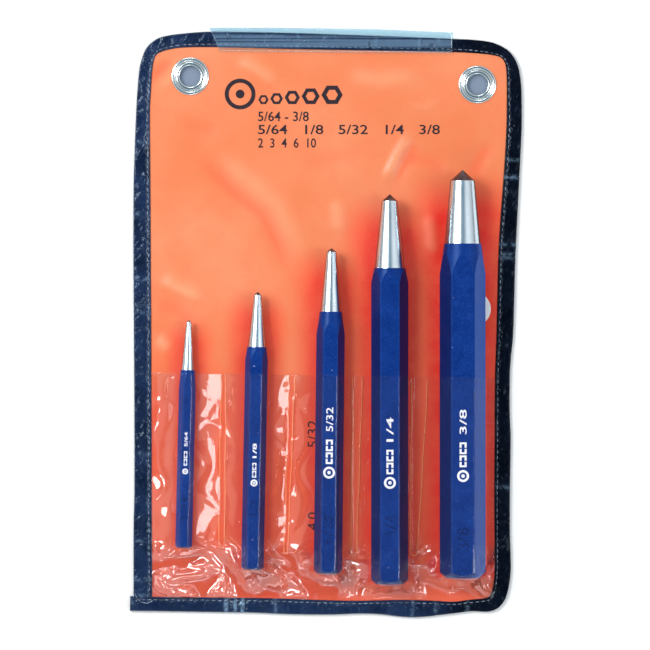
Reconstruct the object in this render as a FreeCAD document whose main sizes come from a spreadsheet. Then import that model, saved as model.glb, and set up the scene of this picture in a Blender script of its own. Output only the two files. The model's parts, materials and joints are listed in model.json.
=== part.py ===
import FreeCAD, Part
import math
import os
import Sketcher

# Five heavy-duty centre punches in a flat vinyl pouch, lying on its back.
# X across the pouch, Y up the pouch towards the grommets, Z out of its front.
# Origin: middle of the overall box, on the face that it lies on. Millimetres.

V = FreeCAD.Vector
doc = FreeCAD.newDocument("punch_pouch")
doc.UndoMode = 0
sheet = doc.addObject("Spreadsheet::Sheet", "dims")
rows = 0


class Dim:
    """A size with its value and the expression that gives it from the sheet."""

    def __init__(self, value, text, driven=True):
        self.v, self.e, self.driven = float(value), text, driven

    def _join(self, other, op, value):
        return Dim(value, "(%s %s %s)" % (self.e, op, other.e), self.driven or other.driven)

    def __add__(self, o):
        o = dim(o)
        return self._join(o, "+", self.v + o.v)

    def __sub__(self, o):
        o = dim(o)
        return self._join(o, "-", self.v - o.v)

    def __mul__(self, o):
        o = dim(o)
        return self._join(o, "*", self.v * o.v)

    def __truediv__(self, o):
        o = dim(o)
        return self._join(o, "/", self.v / o.v)

    def __radd__(self, o):
        return dim(o) + self

    def __rsub__(self, o):
        return dim(o) - self

    def __rmul__(self, o):
        return dim(o) * self

    def __neg__(self):
        return dim(0) - self


def dim(x):
    return x if isinstance(x, Dim) else Dim(x, "%.6f" % float(x), False)


def size(alias, value):
    """Writes one driving size to the sheet and returns it."""
    global rows
    rows += 1
    sheet.set("A%d" % rows, alias)
    sheet.set("B%d" % rows, "%.6f" % value)
    sheet.setAlias("B%d" % rows, alias)
    return Dim(value, "dims.%s" % alias)


# ---------------------------------------------------------------- driving sizes
panel_z = size("panel_back_height", 0.65)
panel_th = size("panel_thickness", 0.70)
film_th = size("pocket_film_thickness", 0.30)
bind_th = size("binding_overall_thickness", 2.00)
sleeve_th = size("sleeve_film_thickness", 0.25)
thread_w = size("thread_width", 0.32)
thread_dep = size("thread_depth", 0.15)
coat_th = size("enamel_thickness", 0.25)
ridge_fillet = size("ridge_fillet_radius", 0.35)
stamp_depth = size("stamp_depth", 0.17)
hole_rad = size("grommet_hole_radius", 4.15)
barrel_rad = size("grommet_barrel_outer_radius", 4.50)
flange_rad = size("grommet_flange_radius", 7.10)
washer_rad = size("washer_outer_radius", 7.60)
roll_rad = size("grommet_roll_radius", 5.75)
rest_z = size("punch_underside_height", 2.30)
tunnel_gap = size("tunnel_clearance", 0.40)
sticker_rad = size("sticker_radius", 6.80)
sticker_th = size("sticker_thickness", 0.12)
face_z = panel_z + panel_th

# name, across flats, length, tip radius, tip height, radius and height of the
# paint line, height where the full hexagon starts, struck-face radius,
# struck-end centre x and y, lean (degrees towards +X), travel
PUNCHES = [
    ("1", 6.0, 91.0, 1.00, 0.85, 2.62, 71.0, 62.2, 2.65, -56.82, -90.00, 1.34, 71.5),
    ("2", 8.0, 110.9, 1.50, 1.20, 3.60, 88.9, 82.9, 3.50, -29.30, -98.68, 1.12, 80.0),
    ("3", 10.0, 130.0, 1.97, 1.55, 4.20, 104.6, 94.9, 4.35, 0.86, -100.28, 0.65, 80.5),
    ("4", 13.0, 155.6, 3.15, 2.70, 6.05, 126.1, 119.8, 5.60, 25.54, -104.40, 0.0, 84.5),
    ("5", 16.0, 162.8, 4.95, 4.40, 7.20, 133.3, 120.5, 6.80, 54.58, -101.88, 0.0, 81.5),
]
keys = ("across_flats", "length", "tip_radius", "tip_height", "paint_radius",
        "paint_height", "hexagon_height", "face_radius", "end_x", "end_y", "lean", "travel")
P = {}
for row in PUNCHES:
    P[row[0]] = {k: size("punch%s_%s" % (("one", "two", "three", "four", "five")[int(row[0]) - 1], k), v)
                 for k, v in zip(keys, row[1:])}
doc.recompute()

# ---------------------------------------------------------------- outlines
# edge of the tape binding: square at the lower left, where the tape starts
# and ends with a short tail, round at the other corners
OUTER = [
    (-78.5, -115.4), (-78.5, -109.4), (-77.02, -108.6), (-77.02, -83.0), (-76.7, -67.0), (-76.7, -35.0),
    (-76.9, -3.0), (-77.1, 29.0), (-77.02, 53.0), (-76.7, 65.0), (-76.3, 77.0), (-75.9, 85.8), (-75.42, 93.8),
    (-74.7, 101.4), (-73.9, 105.0), (-72.7, 108.4), (-71.1, 110.92), (-68.9, 112.8), (-66.3, 114.2),
    (-63.1, 115.0), (-59.9, 115.48), (-53.5, 116.12), (-45.9, 116.52), (-30.3, 116.36), (-10.3, 115.88),
    (9.7, 115.24), (29.7, 114.52), (50.9, 113.64), (58.5, 113.32), (64.9, 112.6), (68.1, 111.72), (71.3, 110.2),
    (73.7, 108.4), (75.5, 106.0), (76.7, 103.6), (77.5, 101.0), (78.1, 97.0), (78.5, 90.6), (78.5, 77.8),
    (78.1, 69.0), (77.62, 59.0), (77.02, 47.0), (76.42, 35.0), (75.9, 23.0), (75.54, 9.0), (75.06, -5.0),
    (74.3, -13.0), (73.78, -21.0), (73.7, -35.0), (74.1, -47.0), (73.86, -63.0), (73.78, -83.0), (74.1, -93.0),
    (74.1, -99.8), (73.3, -106.2), (71.9, -110.8), (69.7, -113.8), (67.3, -115.32), (64.1, -115.88),
    (58.5, -115.64), (52.1, -116.44), (45.7, -117.16), (40.9, -117.76), (34.1, -118.08), (27.7, -117.56),
    (21.7, -116.84), (13.7, -116.6), (1.7, -117.0), (-14.3, -116.84), (-28.3, -116.28), (-50.3, -115.92),
    (-66.3, -115.64)]
# inner edge of the binding, where the orange panel shows
WINDOW = [
    (-69.5, -109.88), (-69.58, -95.0), (-69.7, -71.0), (-69.7, -51.0), (-69.82, -31.0), (-69.9, -3.0),
    (-70.06, 21.0), (-70.22, 49.0), (-70.38, 69.0), (-70.46, 84.2), (-69.98, 93.8), (-69.5, 101.0),
    (-68.7, 105.6), (-67.1, 107.88), (-62.78, 109.32), (-57.1, 110.12), (-45.9, 110.28), (-30.3, 109.96),
    (-10.3, 109.48), (9.7, 109.08), (29.7, 108.68), (50.1, 108.28), (59.14, 107.88), (66.26, 107.16),
    (69.9, 106.2), (71.7, 104.0), (72.34, 100.2), (72.5, 93.0), (72.34, 78.2), (71.54, 63.0), (70.34, 47.0),
    (69.3, 31.0), (68.82, 13.0), (68.34, -7.0), (67.78, -25.0), (67.7, -47.0), (67.54, -71.0), (67.7, -91.0),
    (67.42, -103.0), (66.1, -108.6), (64.1, -110.28), (57.7, -111.0), (50.9, -111.8), (41.7, -111.32),
    (29.7, -111.08), (11.3, -111.4), (-2.3, -111.08), (-18.3, -110.52), (-30.3, -110.28), (-50.3, -110.04)]
# flat sheet of the clear pocket: mouth at the top, held under the binding
FILM = [
    (-75.2, -19.96), (72.4, -22.15), (72.5, -98.0), (71.6, -106.4), (69.6, -111.0), (66.0, -113.6),
    (50.0, -114.2), (34.0, -115.3), (10.0, -114.6), (-30.0, -114.4), (-75.2, -113.8)]
# clear sleeve folded over the top edge between the grommets
SLEEVE = [(-46.7, 117.96), (-42.7, 110.4), (-42.3, 108.4), (50.6, 107.8), (50.9, 116.1), (0.0, 117.75)]
SLEEVE_TOP = 118.08
GROMMETS = {"left": (-54.3, 98.64), "right": (60.74, 95.28)}
STICKER_AT = (59.3, 5.4)


def offset_outline(points, d):
    """Moves every edge of a clockwise outline by d, outwards when positive."""
    out = []
    n = len(points)
    for i in range(n):
        (ax, ay), (bx, by), (cx, cy) = points[i - 1], points[i], points[(i + 1) % n]
        l1, l2 = math.hypot(bx - ax, by - ay), math.hypot(cx - bx, cy - by)
        n1 = (-(by - ay) / l1, (bx - ax) / l1)
        n2 = (-(cy - by) / l2, (cx - bx) / l2)
        k = 1 + n1[0] * n2[0] + n1[1] * n2[1]
        k = max(k, 0.5)
        out.append((bx + d * (n1[0] + n2[0]) / k, by + d * (n1[1] + n2[1]) / k))
    return out


# ---------------------------------------------------------------- builders
def plane(body, role):
    return [f for f in body.Origin.OriginFeatures if f.Role == role][0]


def sketch_on(body, name, role, lift=None):
    sk = body.newObject("Sketcher::SketchObject", name)
    sk.AttachmentSupport = [(plane(body, role), "")]
    sk.MapMode = "FlatFace"
    if lift is not None:
        sk.AttachmentOffset = FreeCAD.Placement(V(0, 0, lift.v), FreeCAD.Rotation())
        if lift.driven:
            sk.setExpression(".AttachmentOffset.Base.z", lift.e)
    return sk


def closed_lines(sk, pts):
    """Adds a closed polygon. A corner given with Dim coordinates is bound to the sheet."""
    pts = [(dim(x), dim(y)) for x, y in pts]
    n = len(pts)
    first = sk.GeometryCount
    lines = []
    for i in range(n):
        a, b = pts[i], pts[(i + 1) % n]
        lines.append(Part.LineSegment(V(a[0].v, a[1].v, 0), V(b[0].v, b[1].v, 0)))
    sk.addGeometry(lines, False)
    sk.addConstraint([Sketcher.Constraint("Coincident", first + i, 2, first + (i + 1) % n, 1) for i in range(n)])
    if any(x.driven or y.driven for x, y in pts):
        for i, (x, y) in enumerate(pts):
            for kind, c, axis in (("DistanceX", x, -2), ("DistanceY", y, -1)):
                if abs(c.v) < 1e-9 and not c.driven:
                    sk.addConstraint(Sketcher.Constraint("PointOnObject", first + i, 1, axis))
                    continue
                k = sk.addConstraint(Sketcher.Constraint(kind, -1, 1, first + i, 1, c.v))
                if c.driven:
                    label = "c%s%d" % (kind[-1].lower(), first + i)
                    sk.renameConstraint(k, label)
                    sk.setExpression("Constraints." + label, c.e)


def circle_in(sk, x, y, radius):
    g = sk.addGeometry(Part.Circle(V(x, y, 0), V(0, 0, 1), radius.v), False)
    k = sk.addConstraint(Sketcher.Constraint("Radius", g, radius.v))
    sk.renameConstraint(k, "rad%d" % g)
    sk.setExpression("Constraints.rad%d" % g, radius.e)
    for kind, c in (("DistanceX", x), ("DistanceY", y)):
        sk.addConstraint(Sketcher.Constraint(kind, -1, 1, g, 3, c))


def pad(body, sk, length):
    p = body.newObject("PartDesign::Pad", sk.Name + "_pad")
    p.Profile = sk
    p.Length = length.v
    if length.driven:
        p.setExpression("Length", length.e)
    sk.Visibility = False
    return p


def pocket_through(body, sk, length, up=True):
    p = body.newObject("PartDesign::Pocket", sk.Name + "_pocket")
    p.Profile = sk
    p.Length = length.v
    p.setExpression("Length", length.e)
    p.Reversed = up
    return p


def turned(body, sk, cut):
    f = body.newObject("PartDesign::Groove" if cut else "PartDesign::Revolution", sk.Name + "_turned")
    f.Profile = sk
    f.ReferenceAxis = (sk, ["V_Axis"])
    f.Angle = 360.0
    return f


def new_body(name, x=0, y=0, z=None, rot=None):
    b = doc.addObject("PartDesign::Body", name)
    z = dim(0) if z is None else z
    b.Placement = FreeCAD.Placement(V(x, y, z.v), rot or FreeCAD.Rotation())
    if z.driven:
        b.setExpression(".Placement.Base.z", z.e)
    return b


def volume_drop(before, body, what):
    """A cut that points the wrong way removes nothing: compare the volumes."""
    doc.recompute()
    after = body.Shape.Volume
    if not after < before - 1e-3:
        raise RuntimeError("%s removed nothing" % what)
    return after


def label(obj, name):
    obj.Label = name
    NODES.append(obj)
    return obj


NODES = []

# ---------------------------------------------------------------- back panel
back = new_body("back_panel_body", z=panel_z)
sk = sketch_on(back, "panel_outline", "XY_Plane")
closed_lines(sk, offset_outline(OUTER, -1.05))
pad(back, sk, panel_th)
doc.recompute()
vol = back.Shape.Volume
sk = sketch_on(back, "grommet_holes", "XY_Plane")
for side in ("left", "right"):
    circle_in(sk, GROMMETS[side][0], GROMMETS[side][1], barrel_rad + 0.05)
pocket_through(back, sk, panel_th + 1.0)
volume_drop(vol, back, "grommet holes")
label(back, "back_panel")

# ---------------------------------------------------------------- clear pocket
film = new_body("pocket_film_body", z=face_z)
sk = sketch_on(film, "film_outline", "XY_Plane")
closed_lines(sk, FILM)
pad(film, sk, film_th)
doc.recompute()


def tunnel_section(y, axis_x, left, right, half_corner, half_flat, z_low, z_mid, z_top):
    pts = [V(axis_x - left, y, z_low), V(axis_x - half_corner, y, z_mid), V(axis_x - half_flat, y, z_top),
           V(axis_x + half_flat, y, z_top), V(axis_x + half_corner, y, z_mid), V(axis_x + right, y, z_low)]
    return Part.makePolygon(pts + [pts[0]])


# half widths at the weld line each side of the punch axis, mouth and foot
TUNNELS = {
    "1": (6.5, 6.5, -20.22, -98.5),
    "2": (8.0, 8.0, -20.62, -107.6),
    "3": (9.6, 9.2, -21.15, -109.0),
    "4": (11.8, 9.4, -21.5, -110.6),
    "5": (14.6, 12.4, -21.9, -110.7),
}
hoods, hollows = [], []
f0, th, gap = face_z.v, film_th.v, tunnel_gap.v
for key, (left, right, mouth, foot) in TUNNELS.items():
    p = P[key]
    R = p["across_flats"].v / math.sqrt(3)
    zc = rest_z.v + p["across_flats"].v / 2
    slope = math.tan(math.radians(p["lean"].v))
    end_y = p["end_y"].v

    def at(y):
        return p["end_x"].v + (y - end_y) * slope

    top = rest_z.v + p["across_flats"].v
    for solid, grow in ((hoods, th), (hollows, 0.0)):
        y0 = mouth + (0.0 if solid is hoods else 4.0)
        y1 = end_y - 0.7 - grow * 0.6
        y2 = foot - (0.0 if solid is hoods else -0.6)
        low = f0 - (0.0 if solid is hoods else 0.3)
        corner, flat_half = R + gap + grow, R / 2 + gap * 0.6 + grow * 0.6
        sections = []
        for y in (y0, y1):
            sections.append(tunnel_section(y, at(y), left + grow, right + grow, corner, flat_half,
                                           low, zc, top + gap + grow))
        thin = f0 + (th + 0.12 if solid is hoods else 0.10)
        sections.append(tunnel_section(y2, at(y2), left * 0.75 + grow, right * 0.75 + grow, corner * 0.7,
                                       flat_half * 0.7, low, thin - 0.04, thin))
        solid.append(Part.makeLoft(sections, True, True))
hood = doc.addObject("Part::Feature", "pocket_hoods")
hood.Shape = Part.makeCompound(hoods)
hollow = doc.addObject("Part::Feature", "pocket_hollows")
hollow.Shape = Part.makeCompound(hollows)
joined = doc.addObject("Part::MultiFuse", "pocket_joined")
joined.Shapes = [film, hood]
pocket = doc.addObject("Part::Cut", "pocket_panel_cut")
pocket.Base, pocket.Tool = joined, hollow
label(pocket, "pocket_panel")

# ---------------------------------------------------------------- top sleeve
sleeve_solid = new_body("sleeve_solid")
sk = sketch_on(sleeve_solid, "sleeve_outline", "XY_Plane")
closed_lines(sk, [(-46.7, 117.96), (-46.2, SLEEVE_TOP), (-20.0, SLEEVE_TOP), (20.0, 117.5), (50.9, 116.1),
                  (50.6, 107.8), (-42.3, 108.4), (-42.7, 110.4)])
pad(sleeve_solid, sk, bind_th + sleeve_th)
sleeve_gap = new_body("sleeve_gap", z=sleeve_th)
sk = sketch_on(sleeve_gap, "gap_outline", "XY_Plane")
closed_lines(sk, [(-50.0, 117.68), (-20.0, 117.7), (20.0, 117.1), (53.0, 115.6), (53.0, 104.0), (-50.0, 104.0)])
pad(sleeve_gap, sk, bind_th - sleeve_th)
sleeve = doc.addObject("Part::Cut", "sleeve_cut")
sleeve.Base, sleeve.Tool = sleeve_solid, sleeve_gap
label(sleeve, "top_sleeve")

# ---------------------------------------------------------------- binding and its two threads
ring = new_body("binding_ring")
sk = sketch_on(ring, "binding_outline", "XY_Plane")
closed_lines(sk, OUTER)
pad(ring, sk, bind_th)
doc.recompute()
vol = ring.Shape.Volume
sk = sketch_on(ring, "binding_window", "XY_Plane")
closed_lines(sk, WINDOW)
pocket_through(ring, sk, bind_th + 1.0)
volume_drop(vol, ring, "binding window")

threads = {}
for name, z in (("needle_thread", bind_th - thread_dep), ("bobbin_thread", dim(0))):
    t = new_body(name + "_body", z=z)
    sk = sketch_on(t, name + "_outer", "XY_Plane")
    closed_lines(sk, offset_outline(WINDOW, 1.0 + thread_w.v))
    pad(t, sk, thread_dep)
    doc.recompute()
    vol = t.Shape.Volume
    sk = sketch_on(t, name + "_inner", "XY_Plane")
    closed_lines(sk, offset_outline(WINDOW, 1.0))
    pocket_through(t, sk, thread_dep + 1.0)
    volume_drop(vol, t, name)
    threads[name] = t
bobbin = doc.addObject("Part::Cut", "bobbin_cut")
bobbin.Base, bobbin.Tool = threads["bobbin_thread"], sleeve
label(threads["needle_thread"], "needle_thread")
label(bobbin, "bobbin_thread")

held = doc.addObject("Part::MultiFuse", "held_in_binding")
held.Shapes = [back, pocket]
step1 = doc.addObject("Part::Cut", "binding_slot")
step1.Base, step1.Tool = ring, held
step2 = doc.addObject("Part::Cut", "binding_under_sleeve")
step2.Base, step2.Tool = step1, sleeve
step3 = doc.addObject("Part::Cut", "binding_needle_row")
step3.Base, step3.Tool = step2, threads["needle_thread"]
binding = doc.addObject("Part::Cut", "binding_bobbin_row")
binding.Base, binding.Tool = step3, bobbin
label(binding, "edge_binding")

# ---------------------------------------------------------------- grommets and washers
for side, (gx, gy) in GROMMETS.items():
    g = new_body("grommet_%s_body" % side, gx, gy)
    sk = sketch_on(g, "grommet_%s_profile" % side, "XZ_Plane")
    closed_lines(sk, [
        (hole_rad, dim(0.40)), (hole_rad + 0.10, dim(0.20)), (hole_rad + 0.35, dim(0.08)),
        (flange_rad - 0.20, dim(0.08)), (flange_rad, dim(0.24)), (flange_rad, dim(0.50)),
        (flange_rad - 0.14, panel_z), (barrel_rad, panel_z), (barrel_rad, face_z + 0.24),
        (roll_rad, face_z + 0.24), (roll_rad + 0.05, face_z + 0.40), (roll_rad - 0.15, face_z + 0.60),
        (roll_rad - 0.50, face_z + 0.70), (roll_rad - 1.00, face_z + 0.68), (hole_rad + 0.12, face_z + 0.50),
        (hole_rad, face_z + 0.25)])
    turned(g, sk, False)
    label(g, "grommet_%s" % side)
    w = new_body("washer_%s_body" % side, gx, gy)
    sk = sketch_on(w, "washer_%s_profile" % side, "XZ_Plane")
    closed_lines(sk, [
        (barrel_rad + 0.05, face_z), (washer_rad - 0.10, face_z), (washer_rad, face_z + 0.12),
        (washer_rad - 0.12, face_z + 0.42), (washer_rad - 0.50, face_z + 0.62), (washer_rad - 0.95, face_z + 0.60),
        (washer_rad - 1.35, face_z + 0.40), (roll_rad + 0.12, face_z + 0.24), (barrel_rad + 0.05, face_z + 0.24)])
    turned(w, sk, False)
    label(w, "grommet_washer_%s" % side)

# ---------------------------------------------------------------- round sticker on the panel
st = new_body("sticker_body", z=face_z)
sk = sketch_on(st, "sticker_circle", "XY_Plane")
circle_in(sk, STICKER_AT[0], STICKER_AT[1], sticker_rad)
pad(st, sk, sticker_th)
label(st, "round_sticker")

# ---------------------------------------------------------------- stamped size numerals
GLYPHS = {
    "1": [[(0.08, 0.76), (0.32, 1.0), (0.32, 0.0)]],
    "2": [[(0.02, 0.76), (0.10, 0.93), (0.30, 1.0), (0.50, 0.93), (0.58, 0.75), (0.50, 0.55), (0.0, 0.0), (0.6, 0.0)]],
    "3": [[(0.03, 0.88), (0.2, 1.0), (0.42, 1.0), (0.57, 0.85), (0.57, 0.68), (0.42, 0.54), (0.6, 0.36), (0.6, 0.15),
           (0.42, 0.0), (0.18, 0.0), (0.0, 0.12)], [(0.42, 0.54), (0.22, 0.54)]],
    "4": [[(0.45, 0.0), (0.45, 1.0), (0.0, 0.3), (0.64, 0.3)]],
    "5": [[(0.56, 1.0), (0.08, 1.0), (0.04, 0.56), (0.28, 0.62), (0.50, 0.53), (0.6, 0.32), (0.52, 0.1), (0.3, 0.0),
           (0.1, 0.03), (0.0, 0.14)]],
    "6": [[(0.5, 1.0), (0.22, 0.82), (0.05, 0.5), (0.0, 0.25), (0.12, 0.05), (0.3, 0.0), (0.5, 0.06), (0.6, 0.27),
           (0.5, 0.48), (0.3, 0.55), (0.08, 0.44)]],
    "8": [[(0.3, 0.53), (0.1, 0.64), (0.06, 0.8), (0.16, 0.96), (0.3, 1.0), (0.44, 0.96), (0.54, 0.8), (0.5, 0.64),
           (0.3, 0.53), (0.08, 0.42), (0.0, 0.24), (0.1, 0.05), (0.3, 0.0), (0.5, 0.05), (0.6, 0.24), (0.52, 0.42),
           (0.3, 0.53)]],
    "/": [[(0.02, -0.06), (0.5, 1.06)]],
}
# text, glyph height, advance, stroke width, start of the text along the punch
STAMPS = {
    "1": ("5/64", 2.2, 2.35, 0.34, 11.3),
    "2": ("1/8", 2.9, 2.30, 0.40, 21.2),
    "3": ("5/32", 3.3, 3.00, 0.46, 12.2),
    "4": ("1/4", 3.8, 2.85, 0.50, 19.4),
    "5": ("3/8", 4.2, 3.10, 0.55, 11.3),
}


def stamp_solid(text, height, advance, width, start, top):
    """Strokes reading from the struck end to the point, on the flat at local y = -top."""
    solids = []
    for i, ch in enumerate(text):
        for stroke in GLYPHS[ch]:
            pts = [(start + i * advance + gx * height, height / 2 - gy * height) for gx, gy in stroke]
            for (az, ax), (bz, bx) in zip(pts, pts[1:]):
                length = math.hypot(bz - az, bx - ax)
                box = Part.makeBox(length + width * 0.8, 2.0, width, V(-width * 0.4, 0, -width / 2))
                ang = math.degrees(math.atan2(-(bz - az), bx - ax))
                box.rotate(V(0, 0, 0), V(0, 1, 0), ang)
                box.translate(V(ax, -top - 2.0 + stamp_depth.v, az))
                solids.append(box)
    return solids[0].fuse(solids[1:]).removeSplitter()


# ---------------------------------------------------------------- punches and their enamel
lay_down = FreeCAD.Rotation(V(1, 0, 0), -90)
for key in "12345":
    p = P[key]
    af, length, cham = p["across_flats"], p["length"], p["face_radius"]
    zc = rest_z + af / 2
    lean = FreeCAD.Rotation(V(0, 0, 1), -p["lean"].v)
    where = FreeCAD.Placement(V(p["end_x"].v, p["end_y"].v, zc.v), lean.multiply(lay_down))

    def bar(name, flats, z_from, z_to, z_shift, face_r, edge_r):
        """Hexagonal bar with rounded ridges and a turned chamfer at the struck end."""
        b = new_body(name)
        b.Placement = where
        for prop, value in (("x", p["end_x"]), ("y", p["end_y"]), ("z", zc)):
            b.setExpression(".Placement.Base." + prop, value.e)
        half = flats / 2
        corner = flats * 0.577350269
        hexa = sketch_on(b, name + "_hexagon", "XY_Plane", z_from)
        closed_lines(hexa, [(corner, 0), (corner / 2, half), (-corner / 2, half), (-corner, 0),
                            (-corner / 2, -half), (corner / 2, -half)])
        body_pad = pad(b, hexa, z_to - z_from)
        doc.recompute()
        edges = []
        for i, e in enumerate(body_pad.Shape.Edges):
            a, c = e.Vertexes[0].Point, e.Vertexes[-1].Point
            if abs(a.z - c.z) > 5 and math.hypot(a.x - c.x, a.y - c.y) < 1e-6:
                edges.append("Edge%d" % (i + 1))
        if len(edges) != 6:
            raise RuntimeError("%s has %d ridges" % (name, len(edges)))
        fl = b.newObject("PartDesign::Fillet", name + "_ridges")
        fl.Base = (body_pad, edges)
        fl.Radius = edge_r.v
        fl.setExpression("Radius", edge_r.e)
        vol = volume_drop(body_pad.Shape.Volume, b, name + " ridges")
        ch = sketch_on(b, name + "_chamfer", "XZ_Plane")
        outer = corner + 1.0
        closed_lines(ch, [(face_r, z_shift), (outer, z_shift + outer - face_r), (outer, z_shift - 1.0),
                          (face_r, z_shift - 1.0)])
        turned(b, ch, True)
        volume_drop(vol, b, name + " chamfer")
        return b, corner

    # steel: hexagon under the enamel, shoulder, long taper, ground point
    core, corner = bar("punch_%s_steel" % key, af - 2 * coat_th, coat_th, length, coat_th, cham - 0.1, ridge_fillet)
    slope = (p["paint_height"] - p["hexagon_height"]) / (corner - p["paint_radius"])
    outer = corner + 1.5
    foot_z = p["paint_height"] - (outer - p["paint_radius"]) * slope
    vol = core.Shape.Volume
    tp = sketch_on(core, "punch_%s_taper" % key, "XZ_Plane")
    closed_lines(tp, [(0, length), (p["tip_radius"], length - p["tip_height"]), (p["paint_radius"], p["paint_height"]),
                      (outer, foot_z), (outer, length + 2.0), (0, length + 2.0)])
    turned(core, tp, True)
    volume_drop(vol, core, "taper of punch " + key)
    label(core, "punch_%s" % key)

    # enamel: the same bar a film larger, closed over the struck end, ending at the paint line
    blank, corner = bar("enamel_%s_blank" % key, af, dim(0), p["paint_height"], dim(0), cham, ridge_fillet + coat_th)
    outer = corner + 1.5
    edge = p["paint_radius"] + coat_th
    foot_z = p["paint_height"] - (outer - edge) * slope
    vol = blank.Shape.Volume
    tp = sketch_on(blank, "enamel_%s_shoulder" % key, "XZ_Plane")
    closed_lines(tp, [(edge, p["paint_height"]), (outer, foot_z), (outer, p["paint_height"] + 1.0),
                      (edge, p["paint_height"] + 1.0)])
    turned(blank, tp, True)
    volume_drop(vol, blank, "shoulder of enamel " + key)
    shell = doc.addObject("Part::Cut", "enamel_%s_shell" % key)
    shell.Base, shell.Tool = blank, core
    text, gh, adv, sw, start = STAMPS[key]
    stamp = doc.addObject("Part::Feature", "stamp_%s" % key)
    stamp.Shape = stamp_solid(text, gh, adv, sw, start, af.v / 2)
    stamp.Placement = where
    coat = doc.addObject("Part::Cut", "enamel_%s_stamped" % key)
    coat.Base, coat.Tool = shell, stamp
    label(coat, "enamel_%s" % key)

doc.recompute()

# ---------------------------------------------------------------- tests, then the files
bad = [o.Name + " " + ",".join(o.State) for o in doc.Objects if "Invalid" in o.State or "Error" in o.State]
for o in NODES:
    s = o.Shape
    if s.isNull() or not s.isValid() or not s.Solids:
        bad.append(o.Label + " has no valid solid")
if bad:
    raise RuntimeError("; ".join(bad))
os.makedirs("parts", exist_ok=True)
box = FreeCAD.BoundBox()
for o in NODES:
    o.Shape.exportStep("parts/%s.step" % o.Label)
    box.add(o.Shape.BoundBox)
    print("%-24s solids %d volume %.1f" % (o.Label, len(o.Shape.Solids), o.Shape.Volume))
print("overall box", box)
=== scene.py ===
import json
import math

import bpy
import numpy as np
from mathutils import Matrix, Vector

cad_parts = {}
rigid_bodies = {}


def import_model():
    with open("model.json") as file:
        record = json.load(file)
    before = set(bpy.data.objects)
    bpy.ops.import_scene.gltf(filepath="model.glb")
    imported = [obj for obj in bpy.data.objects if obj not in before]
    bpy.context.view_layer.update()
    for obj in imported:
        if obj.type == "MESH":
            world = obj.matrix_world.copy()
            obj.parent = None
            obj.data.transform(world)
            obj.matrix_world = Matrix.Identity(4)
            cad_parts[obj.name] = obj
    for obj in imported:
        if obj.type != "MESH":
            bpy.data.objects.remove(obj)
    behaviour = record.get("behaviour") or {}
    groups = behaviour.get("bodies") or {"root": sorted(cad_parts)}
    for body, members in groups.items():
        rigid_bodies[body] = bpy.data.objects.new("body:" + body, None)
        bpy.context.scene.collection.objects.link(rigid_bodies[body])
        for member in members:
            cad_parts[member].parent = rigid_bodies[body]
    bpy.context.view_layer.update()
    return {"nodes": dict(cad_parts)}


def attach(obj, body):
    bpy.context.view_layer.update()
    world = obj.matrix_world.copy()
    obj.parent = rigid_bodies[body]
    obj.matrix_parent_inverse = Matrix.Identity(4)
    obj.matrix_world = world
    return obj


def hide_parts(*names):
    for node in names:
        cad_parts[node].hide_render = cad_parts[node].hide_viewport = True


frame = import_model()
nodes = frame["nodes"]
MM = 0.001
rng = np.random.default_rng(11)

# ------------------------------------------------------------------ the set's sizes, in millimetres
# key: across flats, length, tip radius, paint line, struck-face radius, end x, end y, lean in degrees
PUNCH = {
    1: (6.0, 91.0, 1.00, 71.0, 2.65, -56.82, -90.00, 1.34),
    2: (8.0, 110.9, 1.50, 88.9, 3.50, -29.30, -98.68, 1.12),
    3: (10.0, 130.0, 1.97, 104.6, 4.35, 0.86, -100.28, 0.65),
    4: (13.0, 155.6, 3.15, 126.1, 5.60, 25.54, -104.40, 0.0),
    5: (16.0, 162.8, 4.95, 133.3, 6.80, 54.58, -101.88, 0.0),
}
REST_Z = 2.30
FACE_Z = 1.35
GROMMET = {"left": (-54.3, 98.64), "right": (60.74, 95.28)}
OUTER = [
    (-77.02, -108.6), (-77.02, -83.0), (-76.7, -67.0), (-76.7, -35.0), (-76.9, -3.0), (-77.1, 29.0),
    (-77.02, 53.0), (-76.7, 65.0), (-76.3, 77.0), (-75.9, 85.8), (-75.42, 93.8), (-74.7, 101.4), (-73.9, 105.0),
    (-72.7, 108.4), (-71.1, 110.92), (-68.9, 112.8), (-66.3, 114.2), (-63.1, 115.0), (-59.9, 115.48),
    (-53.5, 116.12), (-45.9, 116.52), (-30.3, 116.36), (-10.3, 115.88), (9.7, 115.24), (29.7, 114.52),
    (50.9, 113.64), (58.5, 113.32), (64.9, 112.6), (68.1, 111.72), (71.3, 110.2), (73.7, 108.4), (75.5, 106.0),
    (76.7, 103.6), (77.5, 101.0), (78.1, 97.0), (78.5, 90.6), (78.5, 77.8), (78.1, 69.0), (77.62, 59.0),
    (77.02, 47.0), (76.42, 35.0), (75.9, 23.0), (75.54, 9.0), (75.06, -5.0), (74.3, -13.0), (73.78, -21.0),
    (73.7, -35.0), (74.1, -47.0), (73.86, -63.0), (73.78, -83.0), (74.1, -93.0), (74.1, -99.8), (73.3, -106.2),
    (71.9, -110.8), (69.7, -113.8), (67.3, -115.32), (64.1, -115.88), (58.5, -115.64), (52.1, -116.44),
    (45.7, -117.16), (40.9, -117.76), (34.1, -118.08), (27.7, -117.56), (21.7, -116.84), (13.7, -116.6),
    (1.7, -117.0), (-14.3, -116.84), (-28.3, -116.28), (-50.3, -115.92), (-66.3, -115.64), (-78.4, -115.5)]
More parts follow.
